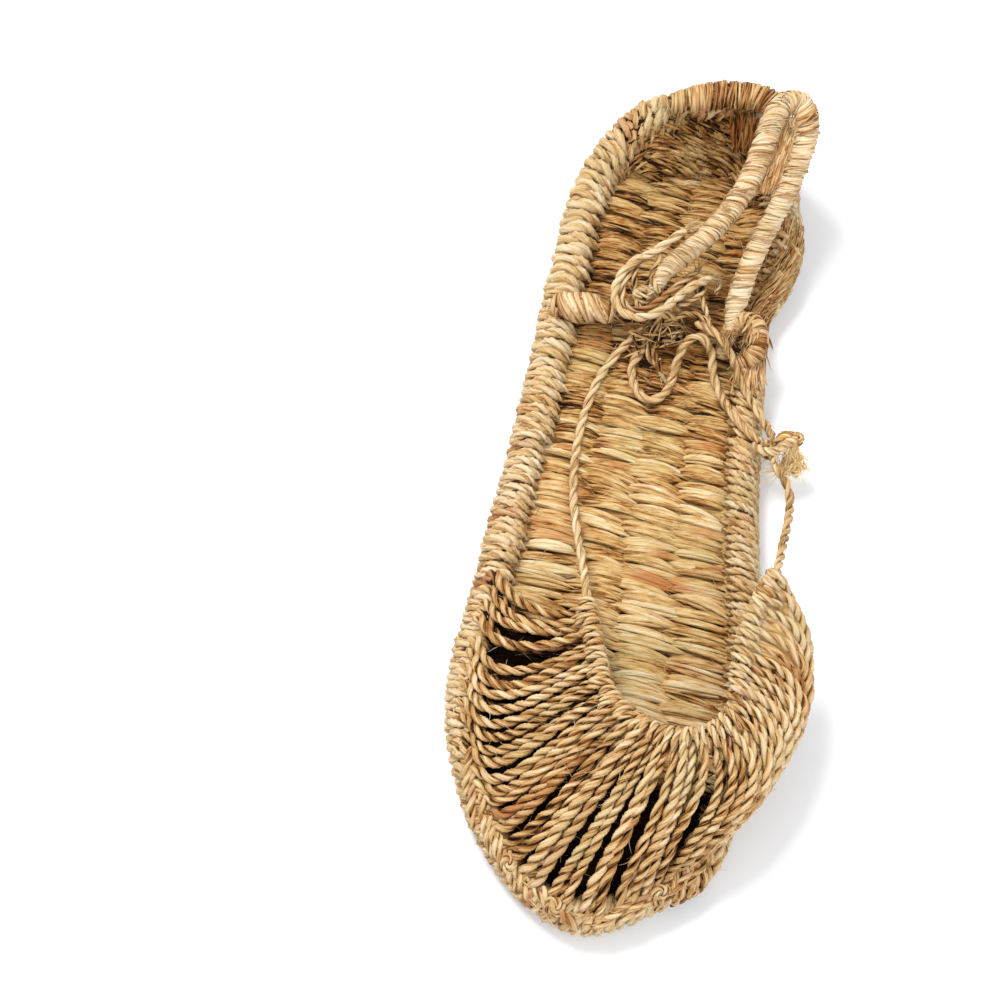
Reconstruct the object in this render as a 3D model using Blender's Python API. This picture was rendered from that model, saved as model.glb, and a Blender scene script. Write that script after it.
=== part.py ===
"""A straw sandal, drawn-cord toe and tied heel strap, built as separate woven and wrapped pieces.

Lengths in the tables are in millimetres. The toe points to -Y, the heel to +Y, +Z is up and
the floor is z = 0. The origin is on the floor, under the middle of the sole.
"""

import math
from collections import namedtuple

import bmesh
import bpy
import numpy as np

MM = 0.001

# Driving sizes, in millimetres.
BED_HEIGHT = 7.6
EDGE_HEIGHT = 12.3
EDGE_WINDINGS = 80
WINDING_DEPTH = 0.07
CORD_COUNT = 48
CORD_RADIUS = 1.7
LACE_DIAMETER = 3.2
FIT_GAP = 0.3

# The sole's outline, from the toe tip up the right side, round the heel and down the left side,
# with how far the edge turns up there.
Edge = namedtuple("Edge", "x y lift")
SOLE_OUTLINE = (
    Edge(2.0, -130.0, 0.0),
    Edge(13.0, -127.0, 0.0),
    Edge(23.5, -120.0, 0.0),
    Edge(32.8, -111.0, 0.0),
    Edge(39.0, -99.0, 0.0),
    Edge(42.3, -84.0, 0.0),
    Edge(44.4, -67.0, 0.0),
    Edge(43.6, -45.0, 0.0),
    Edge(40.6, -20.0, 0.0),
    Edge(37.4, 7.0, 0.0),
    Edge(35.8, 35.0, 0.0),
    Edge(34.5, 60.0, 0.3),
    Edge(34.9, 66.5, 0.9),
    Edge(37.4, 72.0, 1.3),
    Edge(40.4, 79.0, 2.4),
    Edge(41.9, 87.0, 4.0),
    Edge(41.2, 95.0, 6.2),
    Edge(38.6, 103.5, 9.5),
    Edge(37.2, 116.5, 15.5),
    Edge(33.5, 125.0, 18.0),
    Edge(24.0, 130.0, 19.4),
    Edge(12.0, 130.4, 18.4),
    Edge(0.0, 130.0, 17.6),
    Edge(-10.6, 127.8, 17.2),
    Edge(-18.3, 123.6, 13.0),
    Edge(-25.0, 115.8, 6.6),
    Edge(-29.8, 106.6, 2.5),
    Edge(-32.2, 94.0, 0.6),
    Edge(-33.2, 78.0, 0.0),
    Edge(-34.8, 55.0, 0.0),
    Edge(-37.0, 20.0, 0.0),
    Edge(-39.6, -8.0, 0.0),
    Edge(-42.0, -36.0, 0.0),
    Edge(-44.2, -57.0, 0.0),
    Edge(-43.6, -71.0, 0.0),
    Edge(-40.6, -82.5, 0.0),
    Edge(-35.0, -96.0, 0.0),
    Edge(-28.0, -109.5, 0.0),
    Edge(-20.0, -119.8, 0.0),
    Edge(-10.0, -127.0, 0.0),
)

# The ends of the line along the middle of the sole, as x and y.
SPINE_TOE = (1.0, -88.0)
SPINE_HEEL = (2.0, 97.0)

# The sole's section from the flat underside, round the wrapped edge, to the woven bed.
Ring = namedtuple("Ring", "inset height lift_share wound")
SOLE_RINGS = (
    Ring(19.0, 0.0, 0.0, False),
    Ring(4.2, 0.5, 0.85, False),
    Ring(0.8, 3.2, 1.0, True),
    Ring(0.0, 6.6, 1.0, True),
    Ring(1.3, 10.4, 1.0, True),
    Ring(4.8, EDGE_HEIGHT, 1.0, True),
    Ring(8.4, 11.0, 0.85, True),
    Ring(11.4, 8.3, 0.65, False),
    Ring(19.0, BED_HEIGHT, 0.0, False),
)
EDGE_CORE = Ring(5.6, 6.4, 1.0, False)

# The drawn toe: where its cords leave the sole's edge, as a distance round the edge from the
# toe tip with the left side negative, where they reach the throat, and the pulls at both ends
# that bow them, as handles of a cubic curve.
Reach = namedtuple("Reach", "edge rim foot_pull rim_pull")
VAMP_REACHES = (
    Reach(-119, (-8.0, -38.0, 20.0), (9, -7, 3), (-9, -7, -3)),
    Reach(-96, (-4.5, -50.0, 21.5), (8, -12, 3), (-12, -9, -3)),
    Reach(-68, (1.0, -65.5, 25.0), (9, -11, 4.5), (-13, -8, -1)),
    Reach(-39, (8.0, -73.0, 28.5), (7, 0, 7), (-12, -9, 1)),
    Reach(-8, (15.0, -77.2, 30.5), (1, 7, 9), (-4, -14, 2)),
    Reach(17, (23.0, -78.0, 31.5), (1, 7, 10), (3, -16, 3)),
    Reach(40, (31.0, -75.5, 33.0), (10, 3, 9), (16, -14, -1)),
    Reach(64, (36.0, -68.0, 34.5), (17, 1, 6), (21, -8, -5)),
    Reach(88, (35.5, -56.0, 36.5), (23, 0, 4), (29, -3, -8)),
    Reach(109, (38.5, -40.0, 39.5), (20, 0, 7), (26, -1, -9)),
    Reach(121, (42.6, -31.5, 42.0), (13, 1, 11), (14, -1, -9)),
)
VAMP_FOOT_INSET = 5.4
VAMP_FOOT_HEIGHT = EDGE_HEIGHT + FIT_GAP + 1.6
# Shares of the way up a cord; the first and last stretch are the bands that join the cords.
VAMP_ROWS = (0.0, 0.08, 0.2, 0.35, 0.5, 0.65, 0.8, 0.92, 1.0)
CORD_RADIUS_AT_RIM = 1.05
CORD_SHARE_OF_PITCH = 0.42
CORD_SIDE_LIFT = 0.3
CORD_UNDERSIDE = -1.1

# Wrapped cords: a point of the centreline and the radius there.
Wrap = namedtuple("Wrap", "x y z radius")
HEEL_ROLL = (
    Wrap(-4.5, 122.4, 33.4, 3.2),
    Wrap(2.0, 124.4, 34.6, 4.0),
    Wrap(10.0, 126.4, 35.6, 4.3),
    Wrap(17.0, 127.0, 36.2, 4.3),
    Wrap(23.5, 126.4, 36.4, 4.3),
    Wrap(29.5, 123.6, 36.0, 3.8),
)
HEEL_STRAP = (
    Wrap(22.6, 63.8, 17.9, 2.2),
    Wrap(25.9, 75.2, 24.5, 3.2),
    Wrap(29.5, 85.6, 28.8, 3.2),
    Wrap(33.5, 96.1, 33.0, 3.2),
    Wrap(36.6, 106.9, 37.6, 3.3),
    Wrap(37.4, 116.2, 41.2, 3.4),
    Wrap(34.0, 122.4, 43.0, 3.5),
    Wrap(28.6, 120.2, 42.6, 3.6),
    Wrap(25.8, 111.8, 39.8, 3.6),
    Wrap(23.3, 101.4, 34.6, 3.5),
    Wrap(19.0, 91.7, 31.0, 3.4),
    Wrap(12.9, 82.6, 28.2, 3.3),
    Wrap(5.6, 74.6, 25.6, 3.2),
    Wrap(0.8, 69.6, 23.4, 2.8),
    Wrap(-1.4, 64.8, 19.9, 2.2),
)
SIDE_LOOP_LEFT = (
    Wrap(-29.0, 57.5, 15.9, 3.8),
    Wrap(-24.5, 57.7, 16.3, 4.6),
    Wrap(-19.4, 57.9, 16.1, 4.6),
    Wrap(-14.8, 57.9, 15.4, 3.8),
)
SIDE_LOOP_RIGHT = (
    Wrap(21.4, 51.0, 11.3, 2.4),
    Wrap(22.4, 55.6, 14.9, 2.8),
    Wrap(25.4, 58.8, 18.3, 3.0),
    Wrap(29.4, 57.8, 20.1, 3.0),
    Wrap(31.6, 53.0, 19.4, 3.0),
    Wrap(30.6, 48.8, 16.8, 2.8),
    Wrap(26.6, 47.2, 13.2, 2.3),
)
WRAP_STEP = 2.6
WRAP_DEPTH = 0.06
WRAP_SIDES = 8

# The lace: routes of its bars, then of the knotted ends over the bed.
LACE_LEFT = (
    (-8.2, -37.1, 20.0),
    (-11.0, -25.0, 15.4),
    (-14.4, -12.5, 11.4),
    (-16.7, -2.0, 9.8),
    (-17.8, 9.0, 9.6),
    (-17.7, 18.5, 9.6),
    (-16.6, 28.5, 9.6),
    (-13.9, 39.0, 9.8),
    (-10.0, 46.6, 10.4),
    (-6.4, 51.8, 11.2),
    (-3.0, 55.5, 12.6),
)
LACE_RIGHT = (
    (42.8, -29.9, 41.0),
    (44.2, -18.0, 32.0),
    (45.6, -7.0, 24.0),
    (45.9, 2.0, 19.4),
    (44.3, 8.4, 17.6),
    (40.1, 14.4, 16.5),
)
BOW_LOOP = (
    (35.6, 21.4, 15.7),
    (30.8, 25.4, 14.4),
    (25.9, 31.8, 12.2),
    (21.9, 38.5, 10.6),
    (19.4, 44.4, 11.2),
    (18.0, 49.8, 13.6),
    (14.4, 53.4, 15.6),
    (10.4, 51.8, 14.4),
    (8.4, 46.8, 11.6),
    (7.6, 41.5, 10.0),
    (6.0, 36.0, 9.7),
    (2.2, 33.2, 9.7),
    (-1.8, 34.6, 9.7),
    (-4.4, 39.6, 9.7),
    (-4.6, 45.4, 9.8),
    (0.0, 51.9, 10.9),
)
BOW_STRAND = (
    (38.6, 23.4, 16.9),
    (36.0, 28.1, 15.9),
    (31.9, 34.5, 14.6),
    (28.1, 40.4, 14.4),
    (24.2, 46.4, 18.4),
    (19.6, 52.4, 19.4),
    (12.6, 57.0, 17.2),
)
BOW_HITCH = (
    (5.2, 81.0, 30.2),
    (0.4, 76.8, 28.2),
    (-3.8, 73.8, 26.2),
    (-8.2, 71.4, 24.8),
    (-11.8, 67.4, 22.8),
    (-13.2, 61.8, 20.7),
    (-11.0, 56.4, 20.6),
    (-5.4, 54.2, 21.2),
    (0.2, 56.2, 22.0),
    (4.8, 60.6, 22.8),
    (9.4, 66.6, 21.8),
    (14.6, 71.4, 19.6),
)
LOOSE_END = (
    (41.8, 19.6, 17.4),
    (45.4, 22.0, 18.0),
    (48.8, 22.6, 16.6),
    (50.2, 20.6, 13.2),
    (49.4, 17.6, 9.8),
)
# Knots: centre and half-sizes.
Lump = namedtuple("Lump", "x y z half_x half_y half_z")
BOW_KNOT = Lump(3.0, 59.6, 14.2, 7.2, 6.6, 6.2)
SIDE_KNOT = Lump(38.2, 18.4, 16.2, 2.9, 3.9, 2.7)

# Colours as linear red, green and blue, with the roughness.
Finish = namedtuple("Finish", "colour roughness")
BED_STRAW = Finish((0.52, 0.35, 0.16), 0.75)
CORD_STRAW = Finish((0.58, 0.40, 0.21), 0.7)
WRAP_STRAW = Finish((0.66, 0.48, 0.26), 0.6)
LACE_STRAW = Finish((0.60, 0.45, 0.26), 0.65)


def material_of(name, finish):
    """A Principled material of one of the straw finishes."""
    material = bpy.data.materials.new(name)
    material.use_nodes = True
    shader = material.node_tree.nodes["Principled BSDF"]
    shader.inputs["Base Color"].default_value = (*finish.colour, 1.0)
    shader.inputs["Roughness"].default_value = finish.roughness
    shader.inputs["Metallic"].default_value = 0.0
    return material


def through(points, count, closed=False):
    """count points, evenly spaced along a smooth curve through the given points."""
    points = np.array(points, float)
    if closed:
        padded = np.concatenate([points[-1:], points, points[:2]])
    else:
        first = 2 * points[0] - points[1]
        last = 2 * points[-1] - points[-2]
        padded = np.concatenate([[first], points, [last]])
    steps = 24
    share = (np.arange(steps) / steps)[:, None]
    pieces = []
    for before, start, end, after in zip(padded, padded[1:], padded[2:], padded[3:]):
        pull_out = (end - before) / 2
        pull_in = (after - start) / 2
        pieces.append(
            start * (2 * share**3 - 3 * share**2 + 1)
            + pull_out * (share**3 - 2 * share**2 + share)
            + end * (3 * share**2 - 2 * share**3)
            + pull_in * (share**3 - share**2)
        )
    dense = np.concatenate([*pieces, padded[-2:-1]])
    lengths = np.linalg.norm(np.diff(dense[:, :3], axis=0), axis=1)
    along = np.concatenate([[0.0], np.cumsum(lengths)])
    wanted = np.linspace(0, along[-1], count + 1)[:-1] if closed else np.linspace(0, along[-1], count)
    columns = [np.interp(wanted, along, column) for column in dense.T]
    return np.stack(columns, axis=1)


def eased(stops, values, at):
    """values read at a place between the stops, on a smooth curve through them."""
    stops = np.array(stops, float)
    values = np.array(values, float)
    slopes = np.gradient(values, stops, axis=0)
    i = int(np.clip(np.searchsorted(stops, at) - 1, 0, len(stops) - 2))
    span = stops[i + 1] - stops[i]
    t = (at - stops[i]) / span
    return (
        values[i] * (2 * t**3 - 3 * t**2 + 1)
        + slopes[i] * span * (t**3 - 2 * t**2 + t)
        + values[i + 1] * (3 * t**2 - 2 * t**3)
        + slopes[i + 1] * span * (t**3 - t**2)
    )


def add_mesh(name, points, faces, material):
    """One object from points in millimetres, with its faces pointing out."""
    mesh = bpy.data.meshes.new(name)
    mesh.from_pydata([tuple(p) for p in np.array(points) * MM], [], faces)
    work = bmesh.new()
    work.from_mesh(mesh)
    bmesh.ops.recalc_face_normals(work, faces=work.faces)
    work.to_mesh(mesh)
    work.free()
    mesh.materials.append(material)
    mesh.shade_smooth()
    mesh.set_sharp_from_angle(angle=math.radians(50))
    thing = bpy.data.objects.new(name, mesh)
    bpy.context.scene.collection.objects.link(thing)
    return thing


def sole_edge(count):
    """Points round the outside of the sole, from the toe tip up the right side, each with its
    lift, and the directions that point inwards from them, to the sole's spine."""
    edge = through(SOLE_OUTLINE, count, closed=True)
    along = np.clip(edge[:, 1], SPINE_TOE[1], SPINE_HEEL[1])
    across = np.interp(along, (SPINE_TOE[1], SPINE_HEEL[1]), (SPINE_TOE[0], SPINE_HEEL[0]))
    inward = np.stack([across, along], axis=1) - edge[:, :2]
    inward /= np.linalg.norm(inward, axis=1)[:, None]
    return edge, inward


def on_edge(edge, inward, ring):
    """A ring of points round the sole, at the ring's inset and height."""
    plan = edge[:, :2] + inward * ring.inset
    height = ring.height + edge[:, 2] * ring.lift_share
    return np.column_stack([plan, height])


def build_sole(material):
    """The woven sole: a flat bed inside a wrapped edge that turns up round the heel."""
    count = 2 * EDGE_WINDINGS
    edge, inward = sole_edge(count)
    core = on_edge(edge, inward, EDGE_CORE)
    valley = (np.arange(count) % 2 == 1)[:, None]
    points = []
    for ring in SOLE_RINGS:
        row = on_edge(edge, inward, ring)
        if ring.wound:
            row = np.where(valley, row + (core - row) * WINDING_DEPTH, row)
        points.extend(row)
    faces = [tuple(range(count))]
    for i in range(len(SOLE_RINGS) - 1):
        for k in range(count):
            after = (k + 1) % count
            low, high = i * count, (i + 1) * count
            faces.append((low + k, low + after, high + after, high + k))
    last = (len(SOLE_RINGS) - 1) * count
    faces.append(tuple(range(last, last + count)))
    return add_mesh("sole", points, faces, material)


def vamp_foot(distance, edge, inward):
    """Where a cord leaves the sole, at a distance round the edge from the toe tip."""
    perimeter = np.linalg.norm(edge - np.roll(edge, 1, axis=0), axis=1).sum()
    place = distance / perimeter * len(edge)
    i = math.floor(place)
    share = place - i
    a, b = i % len(edge), (i + 1) % len(edge)
    plan = edge[a, :2] * (1 - share) + edge[b, :2] * share
    inwards = inward[a] * (1 - share) + inward[b] * share
    return np.array([*(plan + inwards * VAMP_FOOT_INSET), VAMP_FOOT_HEIGHT])


def vamp_point(distance, rise, edge, inward):
    """A point on the middle of the drawn toe: rise is 0 at the sole and 1 at the throat."""
    stops = [r.edge for r in VAMP_REACHES]
    columns = [(*r.rim, *r.foot_pull, *r.rim_pull) for r in VAMP_REACHES]
    row = eased(stops, columns, distance)
    rim, foot_pull, rim_pull = row[:3], row[3:6], row[6:]
    foot = vamp_foot(distance, edge, inward)
    rest = 1 - rise
    return (
        foot * rest**3
        + (foot + foot_pull) * 3 * rest**2 * rise
        + (rim + rim_pull) * 3 * rest * rise**2
        + rim * rise**3
    )


def vamp_row(distances, rise, edge, inward):
    """Centres of the cords at one height, with the sideways and outward directions there."""
    step = 0.02
    centre = np.array([vamp_point(d, rise, edge, inward) for d in distances])
    ahead = np.array([vamp_point(d + step, rise, edge, inward) for d in distances])
    behind = np.array([vamp_point(d - step, rise, edge, inward) for d in distances])
    up = np.array([vamp_point(d, min(rise + step, 1), edge, inward) for d in distances])
    down = np.array([vamp_point(d, max(rise - step, 0), edge, inward) for d in distances])
    side = ahead - behind
    side /= np.linalg.norm(side, axis=1)[:, None]
    out = np.cross(side, up - down)
    out /= np.linalg.norm(out, axis=1)[:, None]
    return centre, side, out


def build_upper(material):
    """The drawn toe as one wall: a raised strip for each cord, slots between them, and the
    bands that join them along the sole and round the throat."""
    edge, inward = sole_edge(4 * EDGE_WINDINGS)
    first, last = VAMP_REACHES[0].edge, VAMP_REACHES[-1].edge
    distances = np.linspace(first + 2, last - 2, CORD_COUNT)
    outer, inner = [], []
    for rise in VAMP_ROWS:
        centre, side, out = vamp_row(distances, rise, edge, inward)
        pitch = np.linalg.norm(np.diff(centre, axis=0), axis=1)
        pitch = np.minimum(np.append(pitch, pitch[-1]), np.append(pitch[0], pitch))
        radius = CORD_RADIUS + (CORD_RADIUS_AT_RIM - CORD_RADIUS) * rise
        half = np.minimum(radius, CORD_SHARE_OF_PITCH * pitch)[:, None]
        low = centre + out * CORD_SIDE_LIFT
        outer.append(np.stack([low - side * half, centre + out * radius, low + side * half], 1))
        under = centre + out * CORD_UNDERSIDE
        inner.append(np.stack([under - side * half, under + side * half], 1))
    points = np.concatenate([np.array(outer).reshape(-1, 3), np.array(inner).reshape(-1, 3)])
    across_out, across_in = 3 * CORD_COUNT, 2 * CORD_COUNT
    offset = len(VAMP_ROWS) * across_out
    rows = len(VAMP_ROWS) - 1
    faces = []

    def o(row, cord, part):
        return row * across_out + 3 * cord + part

    def n(row, cord, part):
        return offset + row * across_in + 2 * cord + part

    for cord in range(CORD_COUNT):
        for row in range(rows):
            up = row + 1
            faces.append((o(row, cord, 0), o(row, cord, 1), o(up, cord, 1), o(up, cord, 0)))
            faces.append((o(row, cord, 1), o(row, cord, 2), o(up, cord, 2), o(up, cord, 1)))
            faces.append((n(row, cord, 0), n(up, cord, 0), n(up, cord, 1), n(row, cord, 1)))
            banded = row in (0, rows - 1)
            if not banded or cord == 0:
                faces.append((o(row, cord, 0), o(up, cord, 0), n(up, cord, 0), n(row, cord, 0)))
            if not banded or cord == CORD_COUNT - 1:
                faces.append((o(row, cord, 2), n(row, cord, 1), n(up, cord, 1), o(up, cord, 2)))
        for row in (0, rows):
            faces.append((o(row, cord, 0), o(row, cord, 1), o(row, cord, 2), n(row, cord, 1), n(row, cord, 0)))
    for cord in range(CORD_COUNT - 1):
        beside = cord + 1
        for row in (0, rows - 1):
            up = row + 1
            faces.append((o(row, cord, 2), o(row, beside, 0), o(up, beside, 0), o(up, cord, 2)))
            faces.append((n(row, cord, 1), n(up, cord, 1), n(up, beside, 0), n(row, beside, 0)))
            for end in (row, up):
                faces.append((o(end, cord, 2), o(end, beside, 0), n(end, beside, 0), n(end, cord, 1)))
    return add_mesh("upper", points, faces, material)


def build_wrapped(name, wraps, material):
    """A cord wound with straw: rings along its route, alternately full and drawn in."""
    rough = np.array([w[:3] for w in wraps])
    length = np.linalg.norm(np.diff(rough, axis=0), axis=1).sum()
    count = max(6, round(length / WRAP_STEP))
    route = through(wraps, count)
    ahead = np.gradient(route[:, :3], axis=0)
    ahead /= np.linalg.norm(ahead, axis=1)[:, None]
    side = np.cross(ahead[0], (0, 0, 1.0))
    points = []
    for i, (place, direction) in enumerate(zip(route, ahead)):
        side = side - direction * side.dot(direction)
        side /= np.linalg.norm(side)
        over = np.cross(direction, side)
        radius = place[3] * (1 - WRAP_DEPTH * (i % 2))
        for k in range(WRAP_SIDES):
            turn = 2 * math.pi * k / WRAP_SIDES
            points.append(place[:3] + (side * math.cos(turn) + over * math.sin(turn)) * radius)
    tips = [route[0, :3] - ahead[0] * route[0, 3] * 0.45, route[-1, :3] + ahead[-1] * route[-1, 3] * 0.45]
    faces = []
    for i in range(count - 1):
        for k in range(WRAP_SIDES):
            after = (k + 1) % WRAP_SIDES
            low, high = i * WRAP_SIDES, (i + 1) * WRAP_SIDES
            faces.append((low + k, low + after, high + after, high + k))
    last = (count - 1) * WRAP_SIDES
    start_tip, end_tip = len(points), len(points) + 1
    for k in range(WRAP_SIDES):
        after = (k + 1) % WRAP_SIDES
        faces.append((after, k, start_tip))
        faces.append((last + k, last + after, end_tip))
    return add_mesh(name, points + tips, faces, material)


def build_lace(name, route, material):
    """A stretch of the lace, as a plain tube along a smooth curve through its route."""
    rough = np.array(route)
    length = np.linalg.norm(np.diff(rough, axis=0), axis=1).sum()
    line = through(route, max(6, round(length / (1.6 * LACE_DIAMETER))))
    curve = bpy.data.curves.new(name, "CURVE")
    curve.dimensions = "3D"
    curve.bevel_depth = LACE_DIAMETER / 2 * MM
    curve.bevel_resolution = 2
    curve.use_fill_caps = True
    spline = curve.splines.new("POLY")
    spline.points.add(len(line) - 1)
    for point, place in zip(spline.points, line * MM):
        point.co = (*place, 1.0)
    curve.materials.append(material)
    thing = bpy.data.objects.new(name, curve)
    bpy.context.scene.collection.objects.link(thing)
    return thing


def build_knot(name, lump, material):
    """A drawn-tight knot, as a rounded lump."""
    mesh = bpy.data.meshes.new(name)
    work = bmesh.new()
    bmesh.ops.create_uvsphere(work, u_segments=12, v_segments=8, radius=1.0)
    bmesh.ops.scale(work, vec=(lump.half_x * MM, lump.half_y * MM, lump.half_z * MM), verts=work.verts)
    work.to_mesh(mesh)
    work.free()
    mesh.materials.append(material)
    mesh.shade_smooth()
    thing = bpy.data.objects.new(name, mesh)
    thing.location = (lump.x * MM, lump.y * MM, lump.z * MM)
    bpy.context.scene.collection.objects.link(thing)
    return thing


def main():
    for thing in list(bpy.data.objects):
        bpy.data.objects.remove(thing)
    bed = material_of("bed_straw", BED_STRAW)
    cord = material_of("cord_straw", CORD_STRAW)
    wrap = material_of("wrap_straw", WRAP_STRAW)
    lace = material_of("lace_straw", LACE_STRAW)
    build_sole(bed)
    build_upper(cord)
    build_wrapped("heel_roll", HEEL_ROLL, wrap)
    build_wrapped("heel_strap", HEEL_STRAP, wrap)
    build_wrapped("side_loop_left", SIDE_LOOP_LEFT, wrap)
    build_wrapped("side_loop_right", SIDE_LOOP_RIGHT, wrap)
    build_lace("lace_left", LACE_LEFT, lace)
    build_lace("lace_right", LACE_RIGHT, lace)
    build_lace("bow_loop", BOW_LOOP, lace)
    build_lace("bow_strand", BOW_STRAND, lace)
    build_lace("bow_hitch", BOW_HITCH, lace)
    build_lace("loose_end", LOOSE_END, lace)
    build_knot("bow_knot", BOW_KNOT, lace)
    build_knot("side_knot", SIDE_KNOT, lace)


main()
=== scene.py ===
"""The looks of a straw sandal: every woven float, winding and twisted cord as its own strand.

Lengths are in millimetres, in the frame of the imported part: the toe points to -Y, the heel to
+Y, +Z is up, and the floor is z = 0. Places round the sole's edge are distances from the toe
tip, with the left side negative. A table of two rows holds places and the values there.
"""

import math
from collections import namedtuple

import bpy
import numpy as np
from mathutils import Matrix, Vector


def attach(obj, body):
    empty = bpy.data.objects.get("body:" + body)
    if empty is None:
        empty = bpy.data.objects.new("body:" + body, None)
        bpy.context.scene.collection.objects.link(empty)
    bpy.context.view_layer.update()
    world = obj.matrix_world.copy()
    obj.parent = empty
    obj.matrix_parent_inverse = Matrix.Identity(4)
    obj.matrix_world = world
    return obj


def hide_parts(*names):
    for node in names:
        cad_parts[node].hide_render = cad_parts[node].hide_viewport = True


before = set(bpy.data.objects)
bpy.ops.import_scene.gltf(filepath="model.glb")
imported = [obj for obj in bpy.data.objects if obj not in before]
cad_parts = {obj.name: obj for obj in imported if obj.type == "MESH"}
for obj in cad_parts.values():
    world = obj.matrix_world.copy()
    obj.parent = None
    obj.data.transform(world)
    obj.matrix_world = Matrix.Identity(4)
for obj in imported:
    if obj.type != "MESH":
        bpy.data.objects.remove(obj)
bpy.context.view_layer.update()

MM = 0.001


def table(columns, *rows):
    """Rows of values as records with named columns."""
    record = namedtuple("record", columns)
    return [record(*row) for row in rows]


# The camera, as the photograph was taken.
CAMERA_ELEVATION = 66.0
CAMERA_AZIMUTH = 7.087
CAMERA_ROLL = 1.487
CAMERA_DISTANCE = 716.215
CAMERA_TARGET = (-38.37, -1.912, 0.0)
CAMERA_LENS = 86.4
SENSOR_WIDTH = 36.0

# The sole's outline, from the toe tip up the right side, round the heel and down the left side,
# with how far the edge turns up there.
SOLE_OUTLINE = table(
    "x y lift",
    (2, -130, 0), (13, -127, 0), (23.5, -120, 0), (32.8, -111, 0), (39, -99, 0), (42.3, -84, 0),
    (44.4, -67, 0), (43.6, -45, 0), (40.6, -20, 0), (37.4, 7, 0), (35.8, 35, 0), (34.5, 60, 0.3),
    (34.9, 66.5, 0.9), (37.4, 72, 1.3), (40.4, 79, 2.4), (41.9, 87, 4), (41.2, 95, 6.2),
    (38.6, 103.5, 9.5), (37.2, 116.5, 15.5), (33.5, 125, 18), (24, 130, 19.4), (12, 130.4, 18.4),
    (0, 130, 17.6), (-10.6, 127.8, 17.2), (-18.3, 123.6, 13), (-25, 115.8, 6.6),
    (-29.8, 106.6, 2.5), (-32.2, 94, 0.6), (-33.2, 78, 0), (-34.8, 55, 0), (-37, 20, 0),
    (-39.6, -8, 0), (-42, -36, 0), (-44.2, -57, 0), (-43.6, -71, 0), (-40.6, -82.5, 0),
    (-35, -96, 0), (-28, -109.5, 0), (-20, -119.8, 0), (-10, -127, 0),
)
EDGE_SAMPLES = 900

# The line along the middle of the sole, from its toe end to its heel end.
SPINE_X = (1.0, 2.0)
SPINE_Y = (-88.0, 97.0)
FAN_RADIUS = 38.0

# How much of the edge's lift is felt at an inset from the edge.
LIFT = ((4.8, 8.4, 11.4, 19), (1, 0.85, 0.65, 0))
UNDER_LIFT = ((0.8, 4.2, 19), (1, 0.85, 0))
BED_HEIGHT = 7.6

# The drawn toe: where its cords leave the sole's edge and where they reach the throat, and the
# pulls at both ends that bow them, as handles of a cubic curve.
VAMP_REACHES = table(
    "edge rim foot_pull rim_pull",
    (-119, (-8, -38, 20), (9, -7, 3), (-9, -7, -3)),
    (-96, (-4.5, -50, 21.5), (8, -12, 3), (-12, -9, -3)),
    (-68, (1, -65.5, 25), (9, -11, 4.5), (-13, -8, -1)),
    (-39, (8, -73, 28.5), (7, 0, 7), (-12, -9, 1)),
    (-8, (15, -77.2, 30.5), (1, 7, 9), (-4, -14, 2)),
    (17, (23, -78, 31.5), (1, 7, 10), (3, -16, 3)),
    (40, (31, -75.5, 33), (10, 3, 9), (16, -14, -1)),
    (64, (36, -68, 34.5), (17, 1, 6), (21, -8, -5)),
    (88, (35.5, -56, 36.5), (22, 0, 4), (28, -3, -8)),
    (109, (38.5, -40, 39.5), (17, 0, 7), (22, -1, -9)),
    (121, (42.6, -31.5, 42), (9, 1, 11), (10, -1, -9)),
)
VAMP_FOOT_INSET = 5.4
VAMP_FOOT_HEIGHT = 14.2

# The routes of the wound cords, with the radius at each point.
HEEL_ROLL = (
    (-4.5, 122.4, 33.4, 3.2), (2, 124.4, 34.6, 4), (10, 126.4, 35.6, 4.3), (17, 127, 36.2, 4.3),
    (23.5, 126.4, 36.4, 4.3), (29.5, 123.6, 36, 3.8),
)
HEEL_STRAP = (
    (22.7, 56.2, 18, 1.4), (22.9, 59.4, 18.6, 2.5), (23.8, 65.8, 20.2, 3.2),
    (25.9, 75.2, 24.5, 3.2), (29.5, 85.6, 28.8, 3.2), (33.5, 96.1, 33, 3.2),
    (36.6, 106.9, 37.6, 3.3), (37.4, 116.2, 41.2, 3.4), (34, 122.4, 43, 3.5),
    (28.6, 120.2, 42.6, 3.6), (25.8, 111.8, 39.8, 3.6), (23.3, 101.4, 34.6, 3.5),
    (19, 91.7, 31, 3.4), (12.9, 82.6, 28.2, 3.3), (5.6, 74.6, 25.6, 3.2), (0.8, 69.6, 23.4, 2.8),
    (-1.4, 64.8, 19.9, 2.2),
)
SIDE_LOOP_LEFT = (
    (-29, 57.5, 15.9, 3.8), (-24.5, 57.7, 16.3, 4.6), (-19.4, 57.9, 16.1, 4.6),
    (-14.8, 57.9, 15.4, 3.8),
)
SIDE_LOOP_RIGHT = (
    (21.4, 51, 11.3, 2.4), (22.4, 55.6, 14.9, 2.8), (25.4, 58.8, 18.3, 3), (29.4, 57.8, 20.1, 3),
    (31.6, 53, 19.4, 3), (30.6, 48.8, 16.8, 2.8), (26.6, 47.2, 13.2, 2.3),
)
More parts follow.
